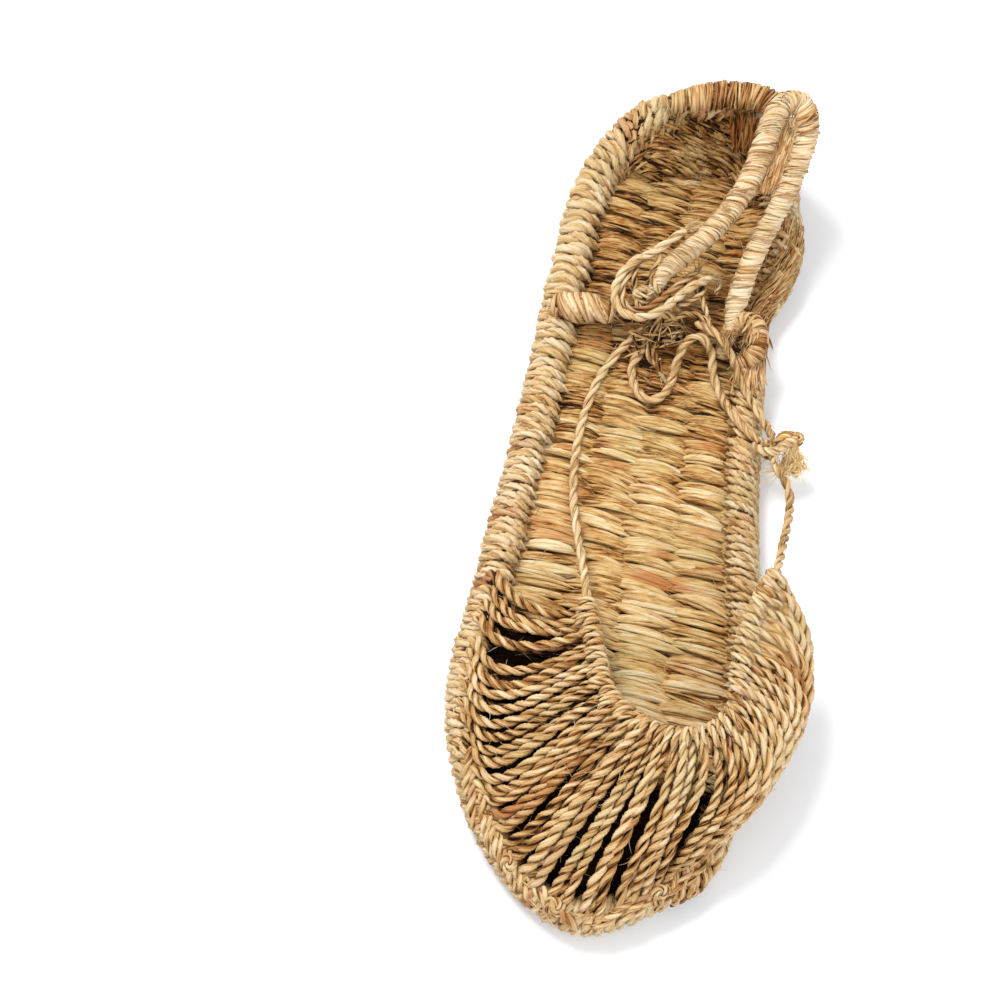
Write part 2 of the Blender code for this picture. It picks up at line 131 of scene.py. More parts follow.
# How they are wound: the straw's pitch and half sizes, its tone, how far each turn leans along
# the cord, how loosely the turns lie, and the loose fibres on them.
WOUND = table(
    "piece node route pitch wide deep tone slant loose fibres seed",
    ("heel_roll_windings", "heel_roll", HEEL_ROLL, 0.85, 0.56, 0.3, 0.4, -0.8, 0.24, 90, 51),
    ("heel_strap_windings", "heel_strap", HEEL_STRAP, 0.62, 0.52, 0.28, 0.79, 1.4, 0.32, 420, 52),
    ("left_loop_windings", "side_loop_left", SIDE_LOOP_LEFT, 1.4, 0.95, 0.45, 0.6, 2.4, 0.25, 50, 53),
    ("right_loop_windings", "side_loop_right", SIDE_LOOP_RIGHT, 1, 0.7, 0.36, 0.5, 0.8, 0.35, 160, 54),
)
STEPS_PER_TURN = 14
# How much darker the inner side of each turn is painted, as painted shade.
WOUND_SHADE = 0.16

# The routes of the lace: its two bars, then the knotted ends over the bed.
LACE_LEFT = (
    (-8.2, -37.1, 20), (-11, -25, 15.4), (-14.4, -12.5, 11.4), (-16.7, -2, 9.8), (-17.8, 9, 9.6),
    (-17.7, 18.5, 9.6), (-16.6, 28.5, 9.6), (-13.9, 39, 9.8), (-10, 46.6, 10.4), (-6.4, 51.8, 11.2),
    (-3, 55.5, 12.6),
)
LACE_RIGHT = (
    (42.8, -29.9, 41), (44.2, -18, 32), (45.6, -7, 24), (45.9, 2, 19.4), (44.3, 8.4, 17.6),
    (40.1, 14.4, 16.5),
)
BOW_LOOP = (
    (35.6, 21.4, 15.7), (30.8, 25.4, 14.4), (25.9, 31.8, 12.2), (21.9, 38.5, 10.6),
    (19.4, 44.4, 11.2), (18, 49.8, 13.6), (14.4, 53.4, 15.6), (10.4, 51.8, 14.4), (8.4, 46.8, 11.6),
    (7.6, 41.5, 10), (6, 36, 9.7), (2.2, 33.2, 9.7), (-1.8, 34.6, 9.7), (-4.4, 39.6, 9.7),
    (-4.6, 45.4, 9.8), (0, 51.9, 10.9),
)
BOW_STRAND = (
    (38.6, 23.4, 16.9), (36, 28.1, 15.9), (31.9, 34.5, 14.6), (28.1, 40.4, 14.4),
    (24.2, 46.4, 18.4), (19.6, 52.4, 19.4), (12.6, 57, 17.2),
)
BOW_HITCH = (
    (5.2, 81, 30.2), (0.4, 76.8, 28.2), (-3.8, 73.8, 26.2), (-8.2, 71.4, 24.8), (-11.8, 67.4, 22.8),
    (-13.2, 61.8, 20.7), (-11, 56.4, 20.6), (-5.4, 54.2, 21.2), (0.2, 56.2, 22), (4.8, 60.6, 22.8),
    (9.4, 66.6, 21.8), (14.6, 71.4, 19.6),
)
LOOSE_END = (
    (41, 21.8, 17.4), (43.8, 23.6, 18.4), (45.6, 22.4, 17.2), (45.8, 20.8, 14.6),
    (45.8, 19.2, 11.6),
)
# How they are twisted: the lay is the length of one twist.
LACES = table(
    "piece node route tone lay seed",
    ("lace_left_cord", "lace_left", LACE_LEFT, 0.68, 10.5, 61),
    ("lace_right_cord", "lace_right", LACE_RIGHT, 0.6, 10.5, 62),
    ("bow_loop_cord", "bow_loop", BOW_LOOP, 0.62, 9, 63),
    ("bow_strand_cord", "bow_strand", BOW_STRAND, 0.56, 8.6, 64),
    ("bow_hitch_cord", "bow_hitch", BOW_HITCH, 0.68, 9.5, 65),
)
LACE_RADIUS = 1.45

# The box that the bow's tangle starts in, and the knots as lumps of wound cord. Then the short
# cords tied in them, and the frayed tips.
BOW_BOX = ((-6, 50, 13), (6, 64, 18))
LUMP_COLUMNS = "middle half turns start tilt radius tone"
BOW_LUMPS = table(
    LUMP_COLUMNS,
    ((2.4, 59, 13.8), (7, 6, 5.6), 3.4, 0.4, 1.3, 1.4, 0.4),
    ((-4.6, 62.4, 20.4), (3.4, 3, 2.6), 3.2, 1.2, 1, 0.95, 0.6),
)
SIDE_LUMPS = table(LUMP_COLUMNS, ((38.2, 18.6, 16), (3.2, 3.9, 2.9), 1.8, 0.4, 1.3, 1.15, 0.5))
END_COLUMNS = "points radius lay tone"
BOW_ENDS = table(
    END_COLUMNS,
    (((-8.4, 70.2, 22.8), (-10.6, 66.6, 21.2), (-11, 62.2, 19.6), (-9, 58.6, 19), (-4.8, 57.4, 20),
        (-0.6, 59.4, 21.6), (3.2, 63.6, 22.2), (7.6, 69.2, 21), (10.6, 73.4, 19.6)),
        1.2, 9.5, 0.58),
    (((10.2, 69.5, 17), (12.6, 65.6, 18.4), (14.4, 62, 17.6), (16.2, 58.9, 15.2)), 1, 8, 0.6),
    (((13.4, 68.2, 15.6), (13.6, 71.2, 16.6), (15.8, 72.8, 17), (17.8, 71, 16.6),
        (17, 68.4, 15.8)), 0.9, 6, 0.62),
    (((1.4, 57.7, 18.4), (0.4, 53.5, 16), (0.7, 48.4, 12.6), (4.1, 42.4, 10.2)), 1, 8.5, 0.5),
    (((-5.6, 74.6, 26), (-2.6, 74.4, 26), (-1.4, 71.6, 25.2), (-3, 67.4, 23.6), (0.2, 62.6, 22.6)),
        1.05, 7.5, 0.56),
    (((-6.4, 73, 24.6), (-8, 69.6, 22.4), (-7.4, 65, 20.6), (-6.4, 60.4, 19.4), (-3.6, 57, 18.6)),
        1, 7.5, 0.42),
    (((0.6, 54.6, 15), (4, 56.4, 16.6), (8.7, 59.4, 17.6), (14.4, 58.8, 17.4), (17.8, 55.4, 15.8)),
        1.1, 8, 0.5),
    (((-0.6, 58.4, 15.4), (-2.4, 54, 13.6), (-1.2, 49, 11.4), (1.6, 45, 10.4), (3.4, 46.6, 11)),
        1.1, 8, 0.46),
    (((6.4, 61, 19), (9.6, 62.8, 19.6), (12.4, 65.8, 19.4), (12.8, 69.4, 18)), 0.95, 7, 0.56),
)
SIDE_ENDS = table(
    END_COLUMNS,
    (((33.4, 20, 15.6), (36, 17.9, 17.2), (38.4, 17.2, 18.4), (40.8, 18, 18.8), (43.3, 20.6, 18.8),
        (46, 22.6, 18.2)), 1.55, 5, 0.66),
    (((46.6, 21.4, 17.6), (47.2, 23, 17.8), (44.4, 23.9, 18), (41.4, 22.6, 17.6),
        (39.8, 20.4, 17)), 1.6, 7.5, 0.5),
    (((40.4, 13.6, 16.9), (39.6, 16, 17.6), (38.4, 18.8, 17.6), (37.4, 21.6, 17)), 1.2, 7, 0.5),
    (((38.4, 24, 16.9), (39.2, 21.2, 17.2), (39.6, 18, 16.4)), 1.2, 7, 0.5),
    (((35, 21.8, 15.5), (36.8, 19.4, 15.2), (38.6, 17, 15)), 1.3, 7, 0.5),
)
BOW_TUFTS = table(
    "root way length count",
    ((5, 80.8, 30.1), (0.75, 0.65, 0.2), 5, 26), ((14.4, 71.2, 19.7), (0.8, 0.5, -0.3), 4.6, 26),
    ((10.6, 73.4, 19.6), (0.5, 0.85, 0.1), 3.6, 18), ((-8.4, 70.2, 22.8), (0.5, 0.8, 0.2), 3, 12),
    ((16.2, 58.9, 15.2), (0.5, -0.85, -0.3), 3.6, 14), ((10.2, 69.5, 17), (-0.5, 0.85, 0), 3.4, 14),
    ((4.1, 42.4, 10.2), (0.5, -0.8, -0.1), 4, 14),
)
POM_TUFTS = table(
    "root way length spread count tone thick",
    ((46.2, 18, 10), (-1, -0.5, 0.1), 8.5, 0.1, 44, 0.86, 0.22),
    ((46.2, 18, 10), (1, -0.1, 0.1), 9, 0.22, 9, 0.86, 0.15),
    ((45.6, 22.4, 17.2), (0.1, -0.6, -0.8), 6.5, 0.35, 46, 0.86, 0.22),
    ((43.2, 20.6, 16.6), (0.3, -0.5, -0.8), 6.5, 0.3, 46, 0.74, 0.22),
)

# The weave of the bed: columns of floats, each a sheaf of slim strands. A float dips at its
# ends and rises in its middle. A face looks up or down.
BED_COLUMNS = 4
BED_TOP, BED_UNDER = table(
    "facing rings lift strands radius",
    (1, 10, 0.1, 4, 1.7),
    (-1, 9, -0.6, 2, 1.15),
)
FLOAT_PITCH = 2.75
FLOAT_SLOPE = 0.11
FLOAT_OVERLAP = 3.2
FLOAT_SHORTEST = 9.0
FLOAT_DIP = 1.3
FLOAT_RISE = 0.3
BED_INSET = 11.6
BED_INSET_RIGHT = 9.8
BED_TOE = -118.0
BED_HEEL = 118.6
# How much darker the bed is along the sole, by y: partly browner straw, partly painted shade from the bow
# and loops over it. Then how dark the painted shade under the toe is.
BROWNING_AND_SHADE = ((-60, 0, 18, 34, 58, 80, 118), (0, 0.02, 0.12, 0.3, 0.37, 0.27, 0.25))
TOE_SHADE = 1.35
TOE_SHADE_REACH = 24.0

# Reddish stains on the sole: their middles and half sizes in plan, and their strength.
STAINS = table(
    "x y half_length half_width strength",
    (12, -24.4, 9, 1.2, 1.3), (11.5, -15.5, 4, 1.2, 0.9), (23, -6.5, 5, 1.2, 0.8),
    (22, -20, 5, 1.2, 1), (33.5, -3.1, 3, 1.2, 0.8), (21.3, 21.3, 6, 1.2, 0.9),
    (-20.6, -13.8, 6, 1.4, 1), (-21, -6.5, 6, 1, 0.7), (20.7, -50.7, 3, 2.5, 0.9),
    (-11.4, -78.8, 3, 2, 1), (6, 84, 6, 1.2, 0.6),
)

# The dark body inside the weave: insets, heights, and whether the ring is on the underside.
CORE_RINGS = (
    (19, 1.6, True), (6, 2.4, True), (3, 4, True), (2.3, 6.8, False), (3.2, 9.2, False),
    (5.4, 10.4, False), (8.4, 9.2, False), (11.4, 7.1, False), (19, 7, False),
)
CORE_SIDES = 180

# The wound edge: the path of one winding round the edge, as insets and heights. Then by distance
# round the edge: the windings' pitch, how far their inner and outer ends are shifted towards the
# heel on the right, and how much shorter their inner ends are.
WINDING_PATH = (
    (12.4, 8), (10.8, 9.8), (8, 11.8), (5, 12.5), (2, 10.8), (0.8, 7), (1.4, 3.4), (4, 1.5),
    (8, 1.3),
)
WINDING_MIDDLE = (5.6, 6.4)
WINDING_RINGS = 20
WINDING_LAY = 10.5 / 2.9
WINDINGS = np.array((
    (-330, 3.4, 0, 0, 0),
    (-262, 3.8, 0.6, 0.8, 0),
    (-225, 3.9, 0.9, 1.4, 0),
    (-170, 2.9, 1.2, 2, 0),
    (-119, 2.8, 1.2, 1.6, 0.4),
    (-60, 3.2, 0.3, 0.4, 1.5),
    (0, 3.2, 0, 0, 2),
    (60, 3, 0.4, -0.6, 2),
    (125, 2.6, 0.8, -0.8, 2.2),
    (180, 2.6, 2.2, -2.2, 2.2),
    (230, 2.8, 2.2, -2, 1.6),
    (262, 3.2, 1.4, -1, 0.8),
    (330, 3.4, 0, 0, 0),
))
HEEL_CUP_START = 286.0
HEEL_CUP_RAMP = 14.0

# The cords of the drawn toe, by distance round the edge: their spacing, how far their feet are
# shifted, how far they lean, and how much they wrap over the edge's outside.
CORD_COUNT = 50
CORD_RADIUS = 1.6
CORD_LAY = 8.8
CORD_PITCHES = ((-119, -60, -40, 40, 60, 121), (5, 5, 5.3, 5.3, 4.4, 3.7))
FOOT_SHIFTS = ((-119, -100, -60, -30, 0, 30, 60, 121), (-3.6, -4, -3.8, -2.2, 0, 1, 0, 0))
LEANS = ((15, 60, 121), (0, -11, -20))
WRAP_SHARES = ((-119, -75, -50, -32, -12, 14, 28, 121), (0, 0.2, 0.8, 0.6, 0.2, 0.3, 1, 1))
# Insets and heights of a cord's foot inside the edge and wrapped over it, and how far its other
# end goes on up and out past the throat's rim.
FEET_INSIDE = ((4.6, 12.2), (2.6, 8.5), (3.0, 6.5))
FEET_OUTSIDE = ((2.6, 13.0), (0.1, 8.6), (0.6, 3.4))
CORD_ENDS = ((1.3, 0.5), (1.7, -1.0), (0.4, -2.1))
# A cord's thickness along its length.
CORD_SWELL = ((0, 0.12, 0.5, 0.92, 1), (0.7, 1, 0.98, 0.78, 0.6))
# Where cords part from each other.
PARTINGS = table(
    "edge width push",
    (-98, 9, 2), (-58, 10, 2.2), (-30, 8, 1.2), (-8, 9, 0.8), (12, 8, 2.4), (31, 8, 0.5),
)
# The cords behind the outer ones, between two places round the edge, each or every second one.
# The further behind a row lies, the darker its tone: painted shade inside the toe.
BACKING = table(
    "first last step layer drift behind tone thick",
    (36, 999, 1, -0.6, 0.6, 2, 0.56, 1.1),
    (-52, 36, 2, -1, 0.9, 2.6, 0.46, 1),
    (-999, -60, 2, -1, 0.9, 3.6, 0.26, 0.9),
)

# The toe's rim: how far it bulges outwards by distance round the edge, and the heights of its
# surface and of the flared lobe's by inset. Then where the ends of cords that lie along the rim
# start, their insets, and the whorls on it.
RIM_BULGES = ((-78, -56, -46, -30, -14, 0, 24, 44, 66), (0, 0.7, 0.6, -1, -1.2, -0.4, -0.5, 1.5, 0))
RIM_SURFACE = ((-2, -1, 0, 1, 2.5, 5), (4, 6.5, 9.2, 11.6, 13.2, 14.2))
FLARE_SURFACE = ((-2, -1, 0, 1, 2.5, 5), (4.5, 7, 9, 11.2, 12.6, 13.2))
RIM_ENDS = (-66, -58, -51, -44, -37, -30, -22, -14, 66, 57, 49, 41, 33, 26, 18)
RIM_END_INSETS = np.array((5.2, 4.4, 3.5, 2.7, 1.9, 1.1, 0.3))
WHORLS = table("edge inset size", (-8, 2.4, 3), (25, 1.9, 3), (-27, 2.6, 2.4))

# The inside of the heel cup, as insets and heights, and the tie under the heel roll.
CUP_SURFACE = ((6.4, 8.4, 11.4, 19), (12.2, 11.4, 9.2, 8.6))
CUP_STRANDS = 30
TIE_TOP = ((16.4, 123.4, 31.5), (21.4, 123.8, 31.5))
TIE_LOW = ((18.2, 116.6, 21.5), (21.6, 117.0, 21.5))

# The straw web between the heel strap's legs: shares of its length, its two sides there, and
# the stretch of its length that the hole takes up. Then the whorls on the strap.
WEB_STOPS = (0.0, 0.3, 0.65, 1.0)
WEB_LEFT = ((31.2, 119.8, 42.2), (29.4, 112.5, 39.4), (27.6, 105.0, 36.0), (25.6, 95.5, 32.8))
WEB_RIGHT = ((34.4, 118.6, 42.2), (34.4, 112.0, 39.6), (33.4, 104.5, 36.4), (31.4, 95.0, 33.0))
WEB_HOLE = (0.2, 0.27)
STRAP_WHORLS = ((20.6, 94.8, 35.2), (16.4, 88.4, 33.4), (29.4, 121.2, 46.4))

# The throat's band: how closely it is wound, and the path of one winding up and out from the
# rim, after its two first points.
BAND_PITCH = 2.3
BAND_PATH = (
    (-0.8, 2.15), (0.9, 1.85), (1.85, 0.5), (1.7, -0.9), (0.6, -1.95), (-1.4, -2.1), (-2.8, -1.4),
)

# How many loose strands lie at each place.
STRAYS = {
    "rim": 22, "flare": 420, "strap": 150, "web": 170, "ear": 120, "under ear": 90,
    "tie": 74, "bow": 60, "pom": 190,
}
HAIR_RADIUS = 0.11
# The turns of a twisted strand's fibres per millimetre.
FIBRE_TWIST = -0.03
FLOOR_GAP = 0.02

# The stage.
FLOOR_HALF = 3.0
FLOOR_COLOUR = (0.86, 0.90, 0.97, 1.0)
SKY_COLOUR = (1.0, 0.975, 0.94, 1.0)
SKY_STRENGTH = 0.86
LIGHTS = table(
    "name place size power colour",
    ("key", (-0.52, 0.42, 1.25), 0.5, 16.2, (1.0, 0.965, 0.91)),
    ("fill", (0.6, -0.8, 0.9), 0.9, 6.0, (1.0, 0.99, 0.97)),
)

# The straw's colours as linear red, green and blue, dark to bright, then a reddish one, the
# roughness, and how much of the mossy colour shows.
Look = namedtuple("Look", "colours reddish rough moss", defaults=(0.5, 0.4))
COLOUR_STOPS = (0.0, 0.22, 0.46, 0.7, 1.0)
LOOKS = {
    "bed_straw": Look(
        (
            (0.014, 0.004, 0.001), (0.29, 0.115, 0.02), (0.52, 0.325, 0.12),
            (0.63, 0.465, 0.235), (0.73, 0.62, 0.43),
        ),
        (0.38, 0.105, 0.012),
    ),
    "cord_straw": Look(
        (
            (0.010, 0.003, 0.001), (0.29, 0.12, 0.026), (0.53, 0.33, 0.135),
            (0.66, 0.485, 0.27), (0.76, 0.64, 0.455),
        ),
        (0.32, 0.09, 0.014),
    ),
    "wrap_straw": Look(
        (
            (0.045, 0.016, 0.005), (0.29, 0.118, 0.026), (0.52, 0.32, 0.135),
            (0.65, 0.475, 0.275), (0.76, 0.635, 0.46),
        ),
        (0.27, 0.068, 0.012),
    ),
    "lace_straw": Look(
        (
            (0.014, 0.006, 0.002), (0.26, 0.13, 0.045), (0.51, 0.325, 0.14),
            (0.67, 0.49, 0.275), (0.78, 0.65, 0.46),
        ),
        (0.27, 0.068, 0.012),
    ),
    # Paler and more golden than the other straws: partly the pom's own colour, partly painted light
    # making up for the shadow that the knot and rope cast on it.
    "fluff_straw": Look(
        (
            (0.38, 0.18, 0.04), (0.64, 0.375, 0.12), (0.86, 0.585, 0.24),
            (0.94, 0.725, 0.38), (0.97, 0.82, 0.52),
        ),
        (0.50, 0.20, 0.04), 0.6, 0.0,
    ),
}
MOSS = (0.42, 0.33, 0.13)


# Curves and directions


def hermite(start, leaving, end, arriving, share):
    """Points of a cubic curve from start to end, given its slopes there."""
    return (
        start * (2 * share**3 - 3 * share**2 + 1)
        + leaving * (share**3 - 2 * share**2 + share)
        + end * (3 * share**2 - 2 * share**3)
        + arriving * (share**3 - share**2)
    )


def sampled(at, stops, values):
    """The columns of a table of values, read at places between the stops."""
    return np.stack([np.interp(at, stops, column) for column in np.transpose(values)], axis=-1)


def distances_along(line):
    """How far along a line each of its points is."""
    return np.concatenate([[0], np.cumsum(np.linalg.norm(np.diff(line, axis=0), axis=1))])


def through(points, count, closed=False):
    """count points, evenly spaced along a smooth curve through the given points."""
    points = np.array(points, float)
    if closed:
        padded = np.concatenate([points[-1:], points, points[:2]])
    else:
        padded = np.concatenate([2 * points[:1] - points[1:2], points, 2 * points[-1:] - points[-2:-1]])
    steps = 24
    share = (np.arange(steps) / steps)[:, None]
    pieces = [
        hermite(start, (end - before) / 2, end, (after - start) / 2, share)
        for before, start, end, after in zip(padded, padded[1:], padded[2:], padded[3:])
    ]
    dense = np.concatenate([*pieces, padded[-2:-1]])
    along = distances_along(dense[:, :3])
    wanted = np.linspace(0, along[-1], count + closed)[:count]
    return sampled(wanted, along, dense)


def smooth_route(points, step):
    """A smooth line through the points, with a point about every step."""
    rough = np.array(points, float)
    length = distances_along(rough[:, :3])[-1]
    return through(rough, max(6, round(length / step)))


def eased(stops, values, at):
    """values read at places between the stops, on a smooth curve through them."""
    stops = np.array(stops, float)
    values = np.array(values, float)
    slopes = np.gradient(values, stops, axis=0)
    i = np.clip(np.searchsorted(stops, at) - 1, 0, len(stops) - 2)
    span = (stops[i + 1] - stops[i])[:, None]
    share = (at - stops[i])[:, None] / span
    return hermite(values[i], slopes[i] * span, values[i + 1], slopes[i + 1] * span, share)


def rising(value, start, span):
    """How far a value has come over a span, from 0 at its start to 1 after it."""
    return np.clip((value - start) / span, 0, 1)


def softened(share):
    """A share from 0 to 1 that starts and ends gently."""
    return share * share * (3 - 2 * share)


def swelling(share, tip, power):
    """The swell of a strand along its length, from its tips' share to 1 in the middle."""
    return tip + (1 - tip) * np.sin(math.pi * share) ** power


def unit(vectors):
    """The same directions with length one."""
    length = np.linalg.norm(vectors, axis=-1, keepdims=True)
    return vectors / np.maximum(length, 1e-9)


def round_ring(angle, across, outwards):
    """Directions at angles round a line, from two directions across it."""
    return np.cos(angle)[:, None] * across + np.sin(angle)[:, None] * outwards


def directions(line, out=None):
    """Forward, sideways and outward directions along a line. Without given outward directions
    the frame is carried along the line without turning."""
    ahead = unit(np.gradient(line, axis=0))
    if out is not None:
        side = unit(np.cross(out, ahead))
        return ahead, side, np.cross(ahead, side)
    carried = np.cross(ahead[0], (0, 0, 1))
    if np.linalg.norm(carried) < 0.1:
        carried = np.cross(ahead[0], (0, 1, 0))
    side = np.zeros_like(line)
    for i, forward in enumerate(ahead):
        carried = carried - forward * carried.dot(forward)
        carried = carried / np.linalg.norm(carried)
        side[i] = carried
    return ahead, side, np.cross(ahead, side)


class Sole:
    """The sole's shape: places on it by distance round the edge and inset from it."""

    def __init__(self):
        edge = through(SOLE_OUTLINE, EDGE_SAMPLES, closed=True)
        self.edge = np.concatenate([edge, edge[:1]])
        along = np.clip(self.edge[:, 1], *SPINE_Y)
        self.spine = np.stack([np.interp(along, SPINE_Y, SPINE_X), along], axis=1)
        self.distance = distances_along(self.edge[:, :2])
        self.perimeter = self.distance[-1]
        self.key_round = 2 * (SPINE_Y[1] - SPINE_Y[0]) + 2 * math.pi * FAN_RADIUS
        self.keys = np.unwrap(self.ray_keys(self.edge[:, 0], self.edge[:, 1]), period=self.key_round)

    def ray_keys(self, x, y):
        """A number that grows once round the sole, the same along each ray from the spine."""
        (toe_x, heel_x), (toe_y, heel_y) = SPINE_X, SPINE_Y
        straight = heel_y - toe_y
        heel = np.arctan2(y - heel_y, x - heel_x)
        toe = np.arctan2(toe_y - y, toe_x - x)
        on_right = x > np.interp(y, SPINE_Y, SPINE_X)
        key = np.where(on_right, y - toe_y, straight + math.pi * FAN_RADIUS + heel_y - y)
        key = np.where(y > heel_y, straight + FAN_RADIUS * heel, key)
        return np.where(y < toe_y, 2 * straight + FAN_RADIUS * (math.pi + toe), key)

    def edge_and_spine(self, distance):
        """The edge's points and the spine's beside them, at distances round the edge."""
        at = np.mod(distance, self.perimeter)
        return sampled(at, self.distance, self.edge), sampled(at, self.distance, self.spine)

    def place(self, distance, inset, height, under=False):
        """Points at distances round the edge, insets from it and heights before its lift."""
        edge, spine = self.edge_and_spine(distance)
        inward = unit(spine - edge[..., :2])
        plan = edge[..., :2] + inward * np.asarray(inset)[..., None]
        z = height + edge[..., 2] * np.interp(inset, *(UNDER_LIFT if under else LIFT))
        return np.concatenate([plan, z[..., None]], axis=-1)

    def inset_and_lift(self, x, y):
        """How far inside the edge points are, and the edge's lift beside them."""
        key = np.mod(self.ray_keys(x, y) - self.keys[0], self.key_round) + self.keys[0]
        edge, spine = self.edge_and_spine(np.interp(key, self.keys, self.distance))
        whole = np.linalg.norm(edge[..., :2] - spine, axis=-1)
        part = np.linalg.norm(np.stack([x, y], axis=-1) - spine, axis=-1)
        return whole - part, edge[..., 2]

    def bed_height(self, x, y):
        """The height of the woven bed."""
        inset, lift = self.inset_and_lift(x, y)
        return BED_HEIGHT + lift * np.interp(inset, *LIFT)

    def under_height(self, x, y):
        """The height of the underside."""
        inset, lift = self.inset_and_lift(x, y)
        return lift * np.interp(inset, *UNDER_LIFT)


SOLE = Sole()


def vamp_point(distance, rise):
    """Points on the middle of the drawn toe: rise is 0 at the sole and 1 at the throat."""
    stops = [r.edge for r in VAMP_REACHES]
    columns = [(*r.rim, *r.foot_pull, *r.rim_pull) for r in VAMP_REACHES]
    rim, foot_pull, rim_pull = np.hsplit(eased(stops, columns, distance), 3)
    foot = SOLE.place(distance, np.full(len(distance), VAMP_FOOT_INSET), np.zeros(len(distance)))
    foot[:, 2] = VAMP_FOOT_HEIGHT
    up = np.asarray(rise)[:, None]
    rest = 1 - up
    return (
        foot * rest**3
        + (foot + foot_pull) * 3 * rest**2 * up
        + (rim + rim_pull) * 3 * rest * up**2
        + rim * up**3
    )


def vamp_directions(distance, rise):
    """Sideways, upwards and outward directions on the drawn toe."""
    step = 0.02
    side = unit(vamp_point(distance + step, rise) - vamp_point(distance - step, rise))
    above = vamp_point(distance, np.minimum(rise + step, 1))
    below = vamp_point(distance, np.maximum(rise - step, 0))
    up = unit(above - below)
    return side, up, unit(np.cross(side, up))


# Strands and materials


class Strands:
    """Strands of straw gathered into one mesh. Each point keeps "grain", its place along and
    across its strand's fibres, "tone", how pale it is, and "rust", how reddish."""

    def __init__(self, seed):
        self.random = np.random.default_rng(seed)
        self.points, self.grain, self.tone, self.rust = [], [], [], []
        self.quads, self.caps, self.paths = [], [], []
        self.count = 0

    def add(self, line, wide, deep, out=None, sides=6, tone=0.5, shade=0, twist=0, rust=0):
        """One strand along a line. wide and deep are its half sizes, shade is how much darker its inner
        side is painted, as painted shade, and twist the turns of its fibres per millimetre."""
        line = np.asarray(line, float)
        rings = len(line)
        ahead, side, over = directions(line, out)
        along = distances_along(line)[:, None]
        wide = np.broadcast_to(wide, rings)[:, None]
        deep = np.broadcast_to(deep, rings)[:, None]
        angle = 2 * math.pi * np.arange(sides)[None, :] / sides
        across = (np.cos(angle) * wide)[:, :, None] * side[:, None, :]
        outwards = (np.sin(angle) * deep)[:, :, None] * over[:, None, :]
        self.points.append((line[:, None, :] + across + outwards).reshape(-1, 3))
        fibre = angle - 2 * math.pi * twist * along
        radius = (wide + deep) / 2
        offset = self.random.uniform(0, 900, 3)
        grain = np.broadcast_arrays(along, radius * np.cos(fibre), radius * np.sin(fibre))
        grain = np.stack(grain, axis=-1) + offset
        self.grain.append(grain.reshape(-1, 3))
        # Painted shade: the inner side of each ring is darker by the shade value.
        tones = np.broadcast_to(tone, rings)[:, None] - shade * (1 - np.sin(angle)) / 2
        self.tone.append(tones.reshape(-1))
        reddish = np.broadcast_to(rust, rings)
        self.rust.append(np.concatenate([np.repeat(reddish, sides), reddish[[0, -1]]]))
        self.paths.append((line + over * deep * 0.8, ahead, over))
        start = self.count
        self.skin(rings, sides)
        for ring, end, way in ((start, 0, -1), (start + (rings - 1) * sides, -1, 1)):
            tip = line[end] + ahead[end] * way * 0.3 * deep[end]
            self.close(tip, ring, sides, grain[end].mean(0), tones[end].mean(), way < 0)

    def skin(self, rings, sides):
        """The faces round a strand, between its rings of points."""
        ring = self.count + np.arange(rings - 1)[:, None] * sides
        here = np.arange(sides)[None, :]
        after = (here + 1) % sides
        quads = np.stack([ring + here, ring + after, ring + sides + after, ring + sides + here], axis=-1)
        self.quads.append(quads.reshape(-1, 4))
        self.count += rings * sides

    def close(self, tip, ring, sides, grain, tone, first):
        """A rounded end over the ring of points that starts at that index."""
        here = np.arange(sides)
        after = (here + 1) % sides
        pair = (after, here) if first else (here, after)
        self.caps.append(np.stack([ring + pair[0], ring + pair[1], np.full(sides, self.count)], axis=-1))
        self.points.append(np.array([tip]))
        self.grain.append(np.array([grain]))
        self.tone.append(np.array([tone]))
        self.count += 1

    def frizz(self, count, reach, tone=0.7):
        """Loose fibres that stand off the strands gathered so far."""
        paths = list(self.paths)
        random = self.random
        share = np.linspace(0, 1, 6)[:, None]
        thick = HAIR_RADIUS * (1 - 0.6 * share[:, 0])
        for _ in range(count):
            line, ahead, over = paths[random.integers(len(paths))]
            i = random.integers(1, len(line) - 1)
            way = ahead[i] * random.choice((-1, 1)) + over[i] * random.uniform(0.1, 0.8)
            way = unit(way + random.normal(0, 0.3, 3))
            length = reach * random.uniform(0.4, 1.3)
            path = line[i] + way * length * share + random.normal(0, 0.3, 3) * length * share**2
            fibre_tone = tone + random.normal(0, 0.12)
            self.add(path, thick, thick, sides=3, tone=fibre_tone, rust=random.random() < 0.1)

    def mesh(self, name, slot, *replaced, material=None):
        """The gathered strands as a piece, of the slot's own material unless another is named."""
        points = np.concatenate(self.points)
        points[:, 2] = np.maximum(points[:, 2], FLOOR_GAP)
        quads = np.concatenate(self.quads)
        caps = np.concatenate(self.caps)
        corners = np.concatenate([quads.ravel(), caps.ravel()])
        starts = np.concatenate([np.arange(len(quads)) * 4, len(quads) * 4 + np.arange(len(caps)) * 3])
        mesh = bpy.data.meshes.new(name)
        mesh.vertices.add(len(points))
        mesh.vertices.foreach_set("co", (points * MM).astype(np.float32).ravel())
        mesh.loops.add(len(corners))
        mesh.loops.foreach_set("vertex_index", corners.astype(np.int32))
        mesh.polygons.add(len(starts))
        mesh.polygons.foreach_set("loop_start", starts.astype(np.int32))
        mesh.update(calc_edges=True)
        mesh.validate()
        values = (self.grain, self.tone, self.rust)
        return finished(mesh, name, replaced, values, material or slot)


